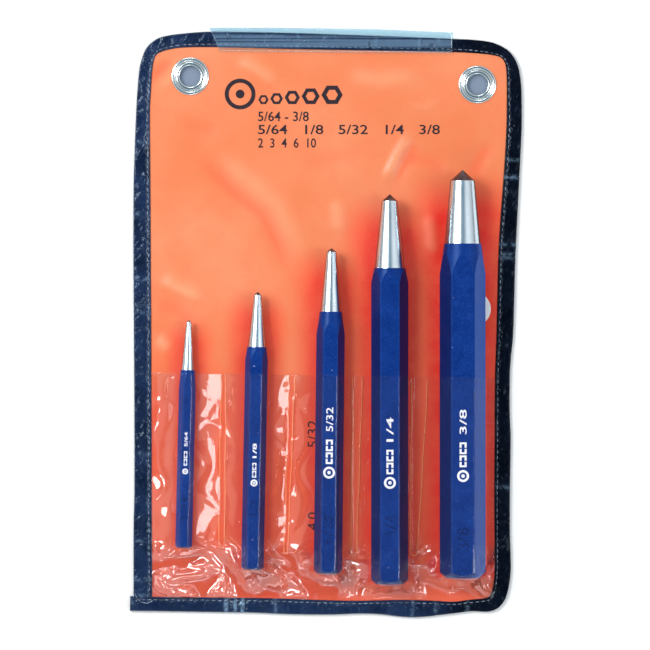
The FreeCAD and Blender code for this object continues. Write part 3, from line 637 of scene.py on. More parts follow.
def clear_vinyl(name, haze, rough_lo, rough_hi, bump_scale, bump_strength, tint=(0.992, 0.985, 0.985, 1), streak=None, milk_col=(0.85, 0.88, 0.92, 1), share=None, veil=None):
    m = Mat(name)
    v = m.coords()
    soft = m.noise(v, 60.0, 3.0, 0.5)
    scuff = m.noise(m.coords((1, 6, 1), (0, 0, 0.5)), 900.0, 3.0, 0.6)
    nrm = m.bump(m.noise(v, bump_scale, 3.0, 0.5, 0.4), bump_strength, 0.0006)
    # the mirror share, the same from both sides of the thin film
    face = m.n("LayerWeight", Blend=0.5, Normal=nrm).outputs["Facing"]
    fac = m.math("ADD", m.math("MULTIPLY", m.math("POWER", face, 5.0), 0.80), 0.042, True)
    if share:
        # how much of the mirror share is seen: less where the film lies wet on a bar, more where it is bunched up
        fac = m.math("MULTIPLY", fac, m.n("Attribute", _attribute_name=share).outputs["Fac"], True)
    clear = m.n("BsdfTransparent", Color=tint)
    milk = m.n("BsdfDiffuse", Color=milk_col, Roughness=0.4, Normal=nrm)
    body = m.n("MixShader")
    if streak:
        lines = m.noise(m.coords((streak, 6.0, 1)), 60.0, 4.0, 0.65, 0.3)
        amount = m.rng(lines, 0.46, 0.555, haze * 0.03, haze * 1.9)
        if veil:
            amount = m.math("MULTIPLY", amount, m.n("Attribute", _attribute_name=veil).outputs["Fac"])
        m.put(body, "Fac", amount)
    else:
        m.put(body, "Fac", m.rng(scuff, 0.35, 0.8, haze * 0.4, haze * 1.8))
    m.put(body, "i1", clear.outputs[0])
    m.put(body, "i2", milk.outputs[0])
    gloss = m.n("BsdfAnisotropic", Color=(1, 1, 1, 1), Roughness=m.rng(soft, 0.3, 0.75, rough_lo, rough_hi), Normal=nrm)
    full = m.n("MixShader")
    m.put(full, "Fac", fac)
    m.put(full, "i1", body.outputs[0])
    m.put(full, "i2", gloss.outputs[0])
    return m.done(full.outputs[0])


FILM_MAT = clear_vinyl("clear_vinyl", 0.004, 0.03, 0.09, 240.0, 0.18, share="gloss")
P0, fixed, _H = film_shape()
P1 = relax_film(P0, fixed)
Xf, Yf = P1[..., 0], P1[..., 1]
wx_ = Xf + 3.2 * waves(Xf, Yf, 51, 0.025, 0.07, 14)
wy_ = Yf + 3.2 * waves(Xf, Yf, 52, 0.025, 0.07, 14)
low_ = sstep((-86.0 - Yf) / 9.0) * sstep((Yf + 111.6) / 3.5)
gap_ = (1 - low_) * sstep((mouth_y(Xf) + 0.5 - Yf) / 3.0)
n1 = waves(wx_, wy_, 53, 0.030, 0.075, 16)
ridge = np.clip(1 - np.abs(n1) * 2.6, 0, 1) ** 1.6
blob = waves(wx_, wy_ * 1.0, 54, 0.045, 0.10, 16)
tall = waves(wx_, wy_ * 0.35, 55, 0.035, 0.085, 16)
tall2 = waves(wx_ * 1.3, wy_ * 0.45, 57, 0.06, 0.13, 16)
fine_ridge = np.clip(1 - np.abs(waves(wx_, wy_ * 0.45, 56, 0.02, 0.06, 14)) * 3.2, 0, 1) ** 1.5
left_ = 1 - sstep((Xf + 63.0) / 4.0)
lift_ = low_ * (2.4 * ridge + 2.9 * blob) + gap_ * (1 + 0.9 * left_) * (0.50 * tall + 0.30 * tall2 + 0.45 * fine_ridge)
near = np.zeros_like(Xf)
for k_ in PUNCH:
    d_, s_ = along_punch(k_, Xf, Yf)
    on = 1 - sstep((np.abs(d_) - PUNCH[k_][0] * 0.30) / (PUNCH[k_][0] * 0.34))
    near = np.maximum(near, on * sstep((s_ + 3.0) / 3.0))
lift_ = lift_ * (1 - 0.93 * near) * np.where(fixed, 0, 1)
for _ in range(2):
    lift_[1:-1, 1:-1] = 0.5 * lift_[1:-1, 1:-1] + 0.125 * (lift_[:-2, 1:-1] + lift_[2:, 1:-1] + lift_[1:-1, :-2] + lift_[1:-1, 2:])
P1[..., 2] = np.where(fixed, P1[..., 2], np.maximum(P1[..., 2] + lift_, obstacle(Xf, Yf, 0.36)))
P1[..., 2] = np.minimum(P1[..., 2], 19.6)
nyf, nxf = P1.shape[:2]
film = mesh_object("pocket_film", P1.reshape(-1, 3), grid_faces(nyf, nxf), FILM_MAT)
bar_ = np.zeros_like(Xf)
for k_, q_ in PUNCH.items():
    d_, s_ = along_punch(k_, Xf, Yf)
    bar_ = np.maximum(bar_, (1 - sstep((np.abs(d_) - q_[0] * 0.56) / 2.4)) * sstep((s_ + 1.5) / 3.0))
deep_ = sstep((Xf - 2.0) / 22.0)
gloss_ = (1 - 0.78 * bar_) * (1 - 0.62 * deep_ * (1 - low_)) * (1 + 2.1 * low_ * (1 - 0.60 * deep_)) * (1 + 0.35 * left_ * (1 - low_))
at_ = film.data.attributes.new("gloss", "FLOAT", "POINT")
at_.data.foreach_set("value", gloss_.ravel().astype(np.float32))
modifier(film, "SUBSURF", levels=1, render_levels=1)
modifier(film, "SOLIDIFY", thickness=0.22 * MM, offset=1.0)
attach(film, "pouch")
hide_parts("pocket_panel")
e1 = np.linalg.norm(np.cross(P1[1:, :-1] - P1[:-1, :-1], P1[:-1, 1:] - P1[:-1, :-1]), axis=-1).sum() * 1e-6
print("film area", round(float(e1), 5))

# weld lines: two narrow pressed beads on each divider, with rounded foot
m = Mat("weld_bead")
v = m.coords()
nz = m.noise(v, 900.0, 3.0, 0.6)
bs = m.n("BsdfPrincipled", Base__Color=m.mix(nz, (0.88, 0.14, 0.035, 1), (0.95, 0.34, 0.14, 1)),
         Roughness=m.rng(nz, 0.3, 0.8, 0.22, 0.4), Normal=m.bump(nz, 0.3, 0.0002))
WELD = m.done(bs)


def bead(points, width, height, lift, sides=7):
    """A low half-round strip along points, standing on the panel."""
    pts = np.array(points, float)
    d = np.gradient(pts, axis=0)
    d /= np.linalg.norm(d, axis=1)[:, None]
    nrm_ = np.stack([-d[:, 1], d[:, 0]], 1)
    ang = np.linspace(0, math.pi, sides)
    out = []
    for i, (p, n) in enumerate(zip(pts, nrm_)):
        e = min(i, len(pts) - 1 - i)
        k = 0.25 if e == 0 else (0.8 if e == 1 else 1.0)
        for a in ang:
            q = p + n * math.cos(a) * width / 2 * k
            z = float(panel_height(q[0], q[1])) + lift + math.sin(a) * height * k
            out.append((q[0], q[1], z))
        for a in ang[::-1][1:-1]:
            q = p + n * math.cos(a) * width / 2 * k
            out.append((q[0], q[1], float(panel_height(q[0], q[1])) + lift - 0.05))
    return np.array(out), len(pts), 2 * sides - 2


allv, allf, base = [], [], 0
for (a0, a1), (b0, b1), y0, y1 in SEAMS:
    lines = []
    for x0, x1 in ((a0, a1), (b0, b1)):
        yy = np.linspace(y0 - 0.3, y1 + 0.6, 60)
        xx = x0 + (x1 - x0) * (yy - y0) / (y1 - y0) + 0.12 * np.sin(yy * 0.21 + x0)
        lines.append(np.stack([xx, yy], 1))
    mid_x = (lines[0][-1, 0] + lines[1][-1, 0]) / 2
    rad = abs(lines[1][-1, 0] - lines[0][-1, 0]) / 2
    arc = [(mid_x - rad * math.cos(t), lines[0][-1, 1] - rad * 0.9 * math.sin(t)) for t in np.linspace(0, math.pi, 12)]
    path = np.concatenate([lines[0][:-1], np.array(arc), lines[1][::-1][1:]])
    bv, nr, nc = bead(path, 0.50, 0.20, 0.14)
    allv.append(bv)
    allf.append(grid_faces(nr, nc, False, True, base))
    allf.append(np.array([], int).reshape(0, 4))
    base += len(bv)
welds = mesh_object("pocket_welds", np.concatenate(allv), np.concatenate(allf), WELD)
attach(welds, "pouch")

# ------------------------------------------------------------------ tape binding
m = Mat("binding_tape")
v = m.coords()
leather = m.n("TexVoronoi", Vector=v, Scale=1250.0, _feature="DISTANCE_TO_EDGE").outputs[0]
patch = m.noise(v, 90.0, 4.0, 0.6)
fine = m.noise(v, 1700.0, 3.0, 0.6)
# painted light: the tape is painted lighter blue, with light flecks and a stronger gloss, on the pouch's left, and near
# black on its right
tone_at = m.n("Attribute", _attribute_name="tone").outputs["Fac"]
worn_at = m.n("Attribute", _attribute_name="worn").outputs["Fac"]
dark_ = m.mix(m.ramp(patch, 0.35, 0.72), (0.0008, 0.0012, 0.0032, 1), (0.0020, 0.0034, 0.0090, 1))
blue_ = m.mix(m.ramp(patch, 0.35, 0.72), (0.0030, 0.0085, 0.030, 1), (0.0105, 0.0250, 0.078, 1))
col = m.mix(tone_at, dark_, blue_)
col = m.mix(m.math("MULTIPLY", m.rng(fine, 0.60, 0.85, 0.0, 0.22), tone_at), col, (0.050, 0.100, 0.20, 1))
# painted highlight: light blue streaks on the crest just past each crease
crease_glint_noise = m.noise(v, 520.0, 4.0, 0.7, 0.8)
col = m.mix(m.math("MULTIPLY", worn_at, m.rng(crease_glint_noise, 0.42, 0.62, 0.0, 1.0), True), col, (0.22, 0.36, 0.52, 1))
crin = m.noise(m.coords((1, 1, 1), (0, 0, 0.3)), 190.0, 3.0, 0.5, 1.6)
nrm = m.bump(leather, 0.10, 0.00008)
nrm = m.bump(crin, 0.55, 0.0009, nrm)
bs = m.n("BsdfPrincipled", Base__Color=col, Roughness=m.rng(patch, 0.3, 0.8, 0.14, 0.26), Normal=nrm)
m.t.links.new(m.rng(tone_at, 0.0, 1.0, 0.10, 0.40), bs.inputs["Specular IOR Level"])
bs.inputs["Specular Tint"].default_value = (0.62, 0.80, 1.0, 1)
TAPE = m.done(bs)


def smooth_poly(points, step):
    """Catmull-Rom through the points, resampled evenly."""
    p = np.array(points, float)
    p = np.vstack([2 * p[0] - p[1], p, 2 * p[-1] - p[-2]])
    out = []
    for i in range(1, len(p) - 2):
        n = max(2, int(np.linalg.norm(p[i + 1] - p[i]) / 0.4))
        t = np.linspace(0, 1, n, endpoint=False)[:, None]
        a, b, c, d = p[i - 1], p[i], p[i + 1], p[i + 2]
        out.append(0.5 * (2 * b + (c - a) * t + (2 * a - 5 * b + 4 * c - d) * t ** 2 + (3 * b - a - 3 * c + d) * t ** 3))
    out = np.vstack(out + [p[-2][None]])
    return out


def nearest_index(poly, pt):
    return int(np.argmin(np.hypot(poly[:, 0] - pt[0], poly[:, 1] - pt[1])))


o_line, w_line = smooth_poly(OUTER, 0.4), smooth_poly(WINDOW, 0.4)
io = [0] + [nearest_index(o_line, a) for a, b in PAIRS[1:-1]] + [len(o_line) - 1]
iw = [0] + [nearest_index(w_line, b) for a, b in PAIRS[1:-1]] + [len(w_line) - 1]
O_, I_ = [], []
for k in range(len(PAIRS) - 1):
    a = o_line[io[k]:io[k + 1] + 1]
    b = w_line[iw[k]:iw[k + 1] + 1]
    n = max(2, int(max(len(a), len(b)) * 0.4 / 0.55))
    for arr, dst in ((a, O_), (b, I_)):
        s = np.concatenate([[0], np.cumsum(np.hypot(*np.diff(arr, axis=0).T))])
        q = np.linspace(0, s[-1], n, endpoint=False)
        dst.append(np.stack([np.interp(q, s, arr[:, 0]), np.interp(q, s, arr[:, 1])], 1))
O_ = np.vstack(O_ + [o_line[-1][None]])
I_ = np.vstack(I_ + [w_line[-1][None]])
# the tape starts under its own end, at the lower left corner
start = np.linspace(-115.2, -108.6, 8)[:-1]
O_ = np.vstack([np.stack([np.full(7, -76.9), start], 1), O_])
I_ = np.vstack([np.stack([np.full(7, -69.6), start], 1), I_])
arc_s = np.concatenate([[0], np.cumsum(np.hypot(*np.diff((O_ + I_) / 2, axis=0).T))])
N = len(O_)
across = O_ - I_
width = np.linalg.norm(across, axis=1)
unit = across / width[:, None]


def tape_top(s, t, x, y, w):
    """Height of the tape's front at fraction t from its inner edge to its outer edge."""
    puff = 0.10 * np.sin(np.pi * np.clip((t - 0.18) / 0.82, 0, 1))
    stitch = -0.22 * np.exp(-((t * w - 1.15) / 0.42) ** 2)
    pucker = 0.055 * np.sin(s * 2 * math.pi / 2.35 + 0.8) * np.exp(-((t * w - 1.15) / 1.2) ** 2)
    wr = 0.10 * waves(x * 1.0, y * 1.0, 33, 0.10, 0.34, 26) * np.sin(np.pi * np.clip(t, 0.04, 1)) ** 0.6
    slant = 0.75 * np.sin(s * 0.045 + 1.0) + 0.4
    u_ = s + slant * t * w + 0.5 * np.sin(t * w * 0.8 + s * 0.3)
    rg = np.clip(1 - np.abs(waves(u_, t * w * 0.30, 34, 0.06, 0.24, 22)) * 3.0, 0, 1)
    wr = wr + 0.20 * rg ** 1.5 * np.sin(np.pi * np.clip(t, 0.02, 0.98)) ** 0.5
    return 1.86 + puff + stitch + pucker + wr


ts = np.array([0.0, 0.03, 0.08, 0.12, 0.155, 0.19, 0.225, 0.28, 0.34, 0.40, 0.46, 0.52, 0.58, 0.64, 0.70, 0.76, 0.82, 0.87, 0.91])
crease = np.zeros(N)
crease_g = np.random.default_rng(17)
low_side = arc_s > arc_s[-1] - 155
# painted highlight: where the light blue crease streaks lie along the tape
worn_s = np.zeros(N)
for c in crease_g.uniform(0, arc_s[-1], 26):
    worn_s += 0.30 * np.exp(-((arc_s - c - 0.8) / 0.7) ** 2)
    crease += -0.22 * np.exp(-((arc_s - c) / 0.55) ** 2) + 0.14 * np.exp(-((arc_s - c - 1.3) / 0.8) ** 2)
for c in (arc_s[-1] - 46.0, arc_s[-1] - 43.0, arc_s[-1] - 39.5):
    crease += -0.40 * np.exp(-((arc_s - c) / 0.55) ** 2) + 0.28 * np.exp(-((arc_s - c - 1.1) / 0.8) ** 2)
    worn_s += 0.85 * np.exp(-((arc_s - c - 1.0) / 0.75) ** 2)
lift = 0.20 * sstep((arc_s - (arc_s[-1] - 12.5)) / 2.0)
rows_ = []
for i in range(N):
    x = I_[i, 0] + across[i, 0] * ts
    y = I_[i, 1] + across[i, 1] * ts
    zt = tape_top(arc_s[i], ts, x, y, width[i]) + crease[i] * np.sin(np.pi * np.clip(ts, 0.05, 1)) * 0.8 + lift[i]
    zt = np.clip(zt, 1.45, 2.18)
    zt[0] -= 0.22
    zt[1] -= 0.06
    under = [(I_[i] - unit[i] * 0.0, 1.48)]
    pts = [(I_[i, 0] + unit[i, 0] * 0.35, I_[i, 1] + unit[i, 1] * 0.35, 1.42), (I_[i, 0], I_[i, 1], 1.46)]
    pts += [(x[j], y[j], zt[j]) for j in range(len(ts))]
    ro = 0.09 * width[i]
    cx, cy = I_[i] + across[i] * 0.91
    top = zt[-1]
    bot = 0.06
    rz = (top - bot) / 2
    rxy = width[i] * 0.09
    wob = 1 + 0.35 * crease[i]
    for a in np.linspace(78, -78, 9):
        ar = math.radians(a)
        pts.append((cx + unit[i, 0] * rxy * math.cos(ar) * wob, cy + unit[i, 1] * rxy * math.cos(ar) * wob, bot + rz + rz * math.sin(ar)))
    for t in (0.91, 0.7, 0.5, 0.3, 0.17, 0.08, 0.0):
        z = 0.05 + 0.03 * (1 + math.sin(arc_s[i] * 1.7 + t * 9))
        if t == 0.17:
            z += 0.10
        pts.append((I_[i, 0] + across[i, 0] * t, I_[i, 1] + across[i, 1] * t, z))
    pts.append((I_[i, 0], I_[i, 1], 0.42))
    pts.append((I_[i, 0] + unit[i, 0] * 0.35, I_[i, 1] + unit[i, 1] * 0.35, 0.50))
    # inside of the fold, so that the tape is a closed band of its own thickness
    pts.append((cx - unit[i, 0] * 0.4, cy - unit[i, 1] * 0.4, 0.52))
    pts.append((cx - unit[i, 0] * 0.1, cy - unit[i, 1] * 0.1, 1.0))
    pts.append((cx - unit[i, 0] * 0.4, cy - unit[i, 1] * 0.4, 1.42))
    rows_.append(pts)
tv = np.array(rows_)
nsec = tv.shape[1]
tf = grid_faces(N, nsec, False, True).tolist()
tf.append(list(range(nsec - 1, -1, -1)))
tf.append([(N - 1) * nsec + j for j in range(nsec)])
tape = mesh_object("binding_tape", tv.reshape(-1, 3), tf, TAPE)
# painted light: 1 on the left of the pouch, falling to near 0 on the right, where the tape is painted darker
tone_ = 1 - 0.92 * sstep((tv[..., 0] - 30.0) / 30.0)
for nm_, arr_ in (("tone", tone_), ("worn", np.repeat(np.clip(worn_s, 0, 1)[:, None], nsec, 1))):
    at_ = tape.data.attributes.new(nm_, "FLOAT", "POINT")
    at_.data.foreach_set("value", arr_.ravel().astype(np.float32))
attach(tape, "pouch")
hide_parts("edge_binding")


# ------------------------------------------------------------------ stitches
m = Mat("stitch_thread")
v = m.coords()
tw = m.n("TexWave", Vector=m.coords((1, 1, 1), (0, 0, 0.7)), Scale=900.0, Distortion=0.6, _wave_type="BANDS").outputs[0]
nz = m.noise(v, 700.0, 2.0)
bs = m.n("BsdfPrincipled", Base__Color=m.mix(m.rng(nz, 0.35, 0.7, 0.0, 1.0), (0.012, 0.020, 0.045, 1), (0.34, 0.42, 0.55, 1)), Roughness=0.45,
         Normal=m.bump(tw, 0.5, 0.00005))
bs.inputs["Sheen Weight"].default_value = 0.3
THREAD = m.done(bs)


def tube(points, radius, sides=8, taper=True, flat=1.0):
    p = np.array(points, float)
    d = np.gradient(p, axis=0)
    d /= np.linalg.norm(d, axis=1)[:, None] + 1e-9
    up = np.array([0, 0, 1.0])
    s = np.cross(d, up)
    s /= np.linalg.norm(s, axis=1)[:, None] + 1e-9
    u = np.cross(s, d)
    n = len(p)
    k = np.ones(n)
    if taper:
        k[0] = k[-1] = 0.35
        if n > 4:
            k[1] = k[-2] = 0.8
    a = np.linspace(0, 2 * math.pi, sides, endpoint=False)
    ring = (p[:, None] + (s[:, None] * np.cos(a)[None, :, None] + u[:, None] * np.sin(a)[None, :, None] * flat) * radius * k[:, None, None])
    f = grid_faces(n, sides, False, True).tolist()
    f.append(list(range(sides - 1, -1, -1)))
    f.append([(n - 1) * sides + j for j in range(sides)])
    return ring.reshape(-1, 3), f


def join_parts(parts):
    vs, fs, base = [], [], 0
    for v_, f_ in parts:
        vs.append(v_)
        fs += [[q + base for q in face] for face in f_]
        base += len(v_)
    return np.vstack(vs), fs


def stitch_row(side):
    parts = []
    pitch, length = 2.35, 1.75
    s = 3.0
    g = np.random.default_rng(5 if side > 0 else 6)
    off = 1.15
    while s < arc_s[-1] - 1.5:
        q = np.linspace(s, s + length + g.uniform(-0.15, 0.15), 6)
        j = g.uniform(-0.10, 0.10)
        pts = []
        for k, qq in enumerate(q):
            ix = np.interp(qq, arc_s, I_[:, 0]) + np.interp(qq, arc_s, unit[:, 0]) * (off + j + 0.05 * (k - 2.5) * g.uniform(-0.5, 0.5))
            iy = np.interp(qq, arc_s, I_[:, 1]) + np.interp(qq, arc_s, unit[:, 1]) * (off + j)
            e = abs(k - 2.5) / 2.5
            if side > 0:
                w_ = float(np.interp(qq, arc_s, width))
                z = float(tape_top(qq, np.array([off / w_]), ix, iy, w_)[0]) + float(np.interp(qq, arc_s, lift)) + 0.13 - 0.20 * e ** 3
                z = min(z, 2.0)
            else:
                z = 0.155 + 0.05 * e ** 3
            pts.append((ix, iy, z))
        parts.append(tube(pts, 0.15 if side > 0 else 0.13, 8, True, 0.85))
        s += pitch + g.uniform(-0.08, 0.08)
    return parts


front = stitch_row(1)
# a skipped stitch on the left edge and the sewing's loose end at the lower left corner
front.append(tube([(-70.9, 78.6, 1.85), (-71.6, 76.6, 2.05), (-72.9, 74.0, 2.1), (-72.6, 73.2, 2.1), (-71.6, 71.4, 2.08), (-70.8, 69.0, 2.0), (-71.0, 66.8, 1.85)], 0.13, 8))
front.append(tube([(-76.5, -108.3, 2.15), (-75.6, -110.2, 2.3), (-74.2, -111.9, 2.32), (-71.6, -112.4, 2.3), (-69.8, -111.7, 2.25), (-69.3, -111.1, 2.2)], 0.14, 8))
fv, ff = join_parts(front)
st1 = mesh_object("needle_stitches", fv, ff, THREAD)
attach(st1, "pouch")
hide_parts("needle_thread")
bv_, bf_ = join_parts(stitch_row(-1))
st2 = mesh_object("bobbin_stitches", bv_, bf_, THREAD)
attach(st2, "pouch")
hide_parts("bobbin_thread")


# ------------------------------------------------------------------ grommets
m = Mat("nickel")
v = m.coords()
nz = m.noise(v, 800.0, 4.0, 0.6)
sc = m.noise(m.coords((1, 9, 1), (0, 0, 0.9)), 500.0, 3.0)
bs = m.n("BsdfPrincipled", Base__Color=m.mix(m.rng(nz, 0.35, 0.75, 0.0, 0.5), (0.80, 0.87, 0.88, 1), (0.70, 0.78, 0.79, 1)),
         Roughness=m.rng(nz, 0.3, 0.8, 0.15, 0.19), Normal=m.bump(sc, 0.01, 0.00003))
bs.inputs["Metallic"].default_value = 1.0
NICKEL = m.done(bs)


def spline2(points, n):
    q = smooth_poly(points, 0.1)
    s = np.concatenate([[0], np.cumsum(np.hypot(*np.diff(q, axis=0).T))])
    t = np.linspace(0, s[-1], n)
    return np.stack([np.interp(t, s, q[:, 0]), np.interp(t, s, q[:, 1])], 1)


def lathe(name, profile, cx, cy, mat, segs=96, wob=0.0, seed=0):
    a = np.linspace(0, 2 * math.pi, segs, endpoint=False)
    p = np.array(profile)
    g = np.random.default_rng(seed)
    ph = g.uniform(0, 6.28, 3)
    r = p[None, :, 0] * (1 + wob * (np.sin(2 * a + ph[0]) + 0.6 * np.sin(3 * a + ph[1]))[:, None])
    v_ = np.stack([cx + r * np.cos(a)[:, None], cy + r * np.sin(a)[:, None], np.repeat(p[None, :, 1], segs, 0)], -1)
    return mesh_object(name, v_.reshape(-1, 3), grid_faces(segs, len(p), True, True), mat)


for side, (gx, gy) in GROMMET.items():
    prof = [(4.15, 0.45), (4.22, 0.22), (4.45, 0.10), (5.2, 0.07), (6.6, 0.08), (6.98, 0.18), (7.08, 0.36), (6.96, 0.58),
            (6.6, 0.64), (4.62, 0.64), (4.52, 0.8), (4.52, 1.50), (4.75, 1.60), (5.45, 1.60), (5.72, 1.66), (5.76, 1.80),
            (5.62, 1.94), (5.25, 2.03), (4.85, 2.05), (4.50, 1.98), (4.26, 1.82), (4.16, 1.60), (4.15, 1.0), (4.15, 0.45)]
    q = spline2(prof, 90)[:-1]
    gobj = lathe("grommet_%s_barrel" % side, q[::-1], gx, gy, NICKEL, 112, 0.0012, 3 if side == "left" else 4)
    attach(gobj, "pouch")
    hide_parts("grommet_%s" % side)
    prof = [(4.60, 1.36), (6.6, 1.36), (7.45, 1.37), (7.60, 1.46), (7.56, 1.66), (7.40, 1.84), (7.08, 1.96), (6.72, 1.97),
            (6.40, 1.88), (6.18, 1.72), (6.02, 1.60), (5.80, 1.575), (4.70, 1.575), (4.60, 1.50), (4.60, 1.36)]
    q = spline2(prof, 70)[:-1]
    wobj = lathe("grommet_%s_ring" % side, q, gx, gy, NICKEL, 112, 0.0015, 5 if side == "left" else 6)
    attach(wobj, "pouch")
    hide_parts("grommet_washer_%s" % side)

# ------------------------------------------------------------------ clear sleeve over the top edge
SLEEVE_MAT = clear_vinyl("sleeve_vinyl", 0.062, 0.05, 0.14, 120.0, 0.3, (0.92, 0.975, 0.995, 1), 0.05, (0.44, 0.68, 0.95, 1), veil="veil")
ns = 150
xs_ = np.linspace(0, 1, ns)


def sleeve_section(t):
    """Points of the folded film at fraction t of its length: front leg up, over the fold, down the back."""
    top_x = -46.6 + t * (50.8 + 46.6)
    bot_x = -42.4 + t * (50.6 + 42.4)
    top_y = float(np.interp(top_x, [-46.6, -20, 20, 50.8], [118.0, 118.02, 117.42, 116.05]))
    bot_y = 108.35 - (108.35 - 107.8) * t
    tape_y = float(np.interp(top_x, [p[0] for p in OUTER[20:26]], [p[1] for p in OUTER[20:26]]))
    pts = []
    for u in (0.0, 0.12, 0.28, 0.45, 0.6, 0.74, 0.86, 0.95, 1.0):
        y = bot_y + (top_y - bot_y) * u
        x = bot_x + (top_x - bot_x) * u
        z = 2.17 + 0.07 * math.sin(x * 0.24 + 1.3 * u) * math.sin(math.pi * min(u * 1.2, 1)) + 0.035 * math.sin(x * 0.9 + u * 5)
        if u > 0.9:
            z -= 0.16 * (u - 0.9) / 0.1 * 2
        if u < 0.1:
            z = 2.06
        pts.append((x, y, min(z, 2.36)))
    z_hi = pts[-1][2]
    for a in np.linspace(60, -60, 5):
        pts.append((top_x, top_y - 0.02 + 0.03 * math.cos(math.radians(a)), 1.05 + 0.75 * math.sin(math.radians(a))))
    for u in (1.0, 0.9, 0.7, 0.5, 0.3, 0.15, 0.0):
        y = bot_y + (top_y - bot_y) * u
        x = bot_x + (top_x - bot_x) * u
        pts.append((x, y, 0.16 if u < 1 else 0.25))
    return pts


sv = np.array([sleeve_section(t) for t in xs_])
sl = mesh_object("top_sleeve_film", sv.reshape(-1, 3), grid_faces(ns, sv.shape[1]), SLEEVE_MAT)
veil_ = np.ones((ns, sv.shape[1]))
edge_y = np.interp(sv[..., 0], [p[0] for p in OUTER[20:26]], [p[1] for p in OUTER[20:26]])
veil_ = np.where(sv[..., 1] > edge_y - 0.6, 0.22, 1.0) * np.where(sv[..., 1] < 109.6, 0.45, 1.0)
veil_ = np.where(np.arange(sv.shape[1])[None, :] > 10, 0.10, veil_)
at_ = sl.data.attributes.new("veil", "FLOAT", "POINT")
at_.data.foreach_set("value", veil_.ravel().astype(np.float32))
modifier(sl, "SOLIDIFY", thickness=0.16 * MM, offset=-1.0)
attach(sl, "pouch")
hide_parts("top_sleeve")

# ------------------------------------------------------------------ printed and stamped marks
m = Mat("panel_ink")
v = m.coords()
nz = m.noise(v, 900.0, 3.0)
bs = m.n("BsdfPrincipled", Base__Color=m.mix(m.rng(nz, 0.4, 0.8, 0.0, 0.6), (0.012, 0.008, 0.016, 1), (0.05, 0.02, 0.03, 1)),
         Roughness=0.5, Normal=m.bump(nz, 0.1, 0.00005))
bs.inputs["Specular IOR Level"].default_value = 0.25
INK = m.done(bs)
m = Mat("white_ink")
nz = m.noise(m.coords(), 1500.0, 3.0)
bs = m.n("BsdfPrincipled", Base__Color=m.mix(m.rng(nz, 0.45, 0.75, 0.0, 0.7), (0.86, 0.88, 0.92, 1), (0.45, 0.50, 0.62, 1)), Roughness=0.45)
WHITE_INK = m.done(bs)


def flat_patch(poly_rows, zfun, lift, thick=0.03):
    """A thin closed patch from rows of points across it, laid on zfun."""
    r = np.array(poly_rows, float)
    z = zfun(r[..., 0], r[..., 1]) + lift
    top = np.concatenate([r, (z + thick)[..., None]], -1)
    bot = np.concatenate([r, z[..., None]], -1)
    nr, nc = r.shape[:2]
    f = grid_faces(nr, nc).tolist()
    f += [q[::-1] for q in grid_faces(nr, nc, base=nr * nc).tolist()]
    b = nr * nc
    ring = [(0, j) for j in range(nc)] + [(i, nc - 1) for i in range(1, nr)] + [(nr - 1, j) for j in range(nc - 2, -1, -1)] + [(i, 0) for i in range(nr - 2, 0, -1)]
    idx = [i * nc + j for i, j in ring]
    for p, q in zip(idx, idx[1:] + idx[:1]):
        f.append([p, p + b, q + b, q])
    return np.vstack([top.reshape(-1, 3), bot.reshape(-1, 3)]), f


def bar_patch(x0, x1, y0, y1, zfun, lift, to_xy=None, nx_=None):
    nx_ = nx_ or max(2, int(abs(x1 - x0) / 0.8) + 1)
    ny_ = max(2, int(abs(y1 - y0) / 0.8) + 1)
    X, Y = np.meshgrid(np.linspace(x0, x1, nx_), np.linspace(y0, y1, ny_))
    if to_xy:
        X, Y = to_xy(X, Y)
    return flat_patch(np.stack([X, Y], -1), zfun, lift)


def ring_patch(cx, cy, r0, r1, sides, zfun, lift, to_xy=None, turn=0.0, per=1):
    rows2 = []
    for r in (r0, r1):
        pts = []
        for k in range(sides):
            a0 = turn + 2 * math.pi * k / sides
            a1 = turn + 2 * math.pi * (k + 1) / sides
            for j in range(per):
                t = j / per
                pts.append((cx + r * (math.cos(a0) * (1 - t) + math.cos(a1) * t), cy + r * (math.sin(a0) * (1 - t) + math.sin(a1) * t)))
        pts.append(pts[0])
        rows2.append(pts)
    R = np.array(rows2)
    if to_xy:
        X, Y = to_xy(R[..., 0], R[..., 1])
        R = np.stack([X, Y], -1)
    return flat_patch(R, zfun, lift)


def closed_flat(flat, faces, zlow, thick):
    """A thin closed piece over flat faces: top, bottom and rim."""
    n = len(flat)
    z = np.broadcast_to(np.asarray(zlow, float), (n,))
    v_ = np.vstack([np.column_stack([flat, z + thick]), np.column_stack([flat, z])])
    f_ = [list(q) for q in faces] + [[w + n for w in reversed(q)] for q in faces]
    seen = {}
    for q in faces:
        for a_, b_ in zip(q, list(q[1:]) + [q[0]]):
            seen[(a_, b_)] = True
    for a_, b_ in list(seen):
        if (b_, a_) not in seen:
            f_.append([b_, a_, a_ + n, b_ + n])
    return v_, f_


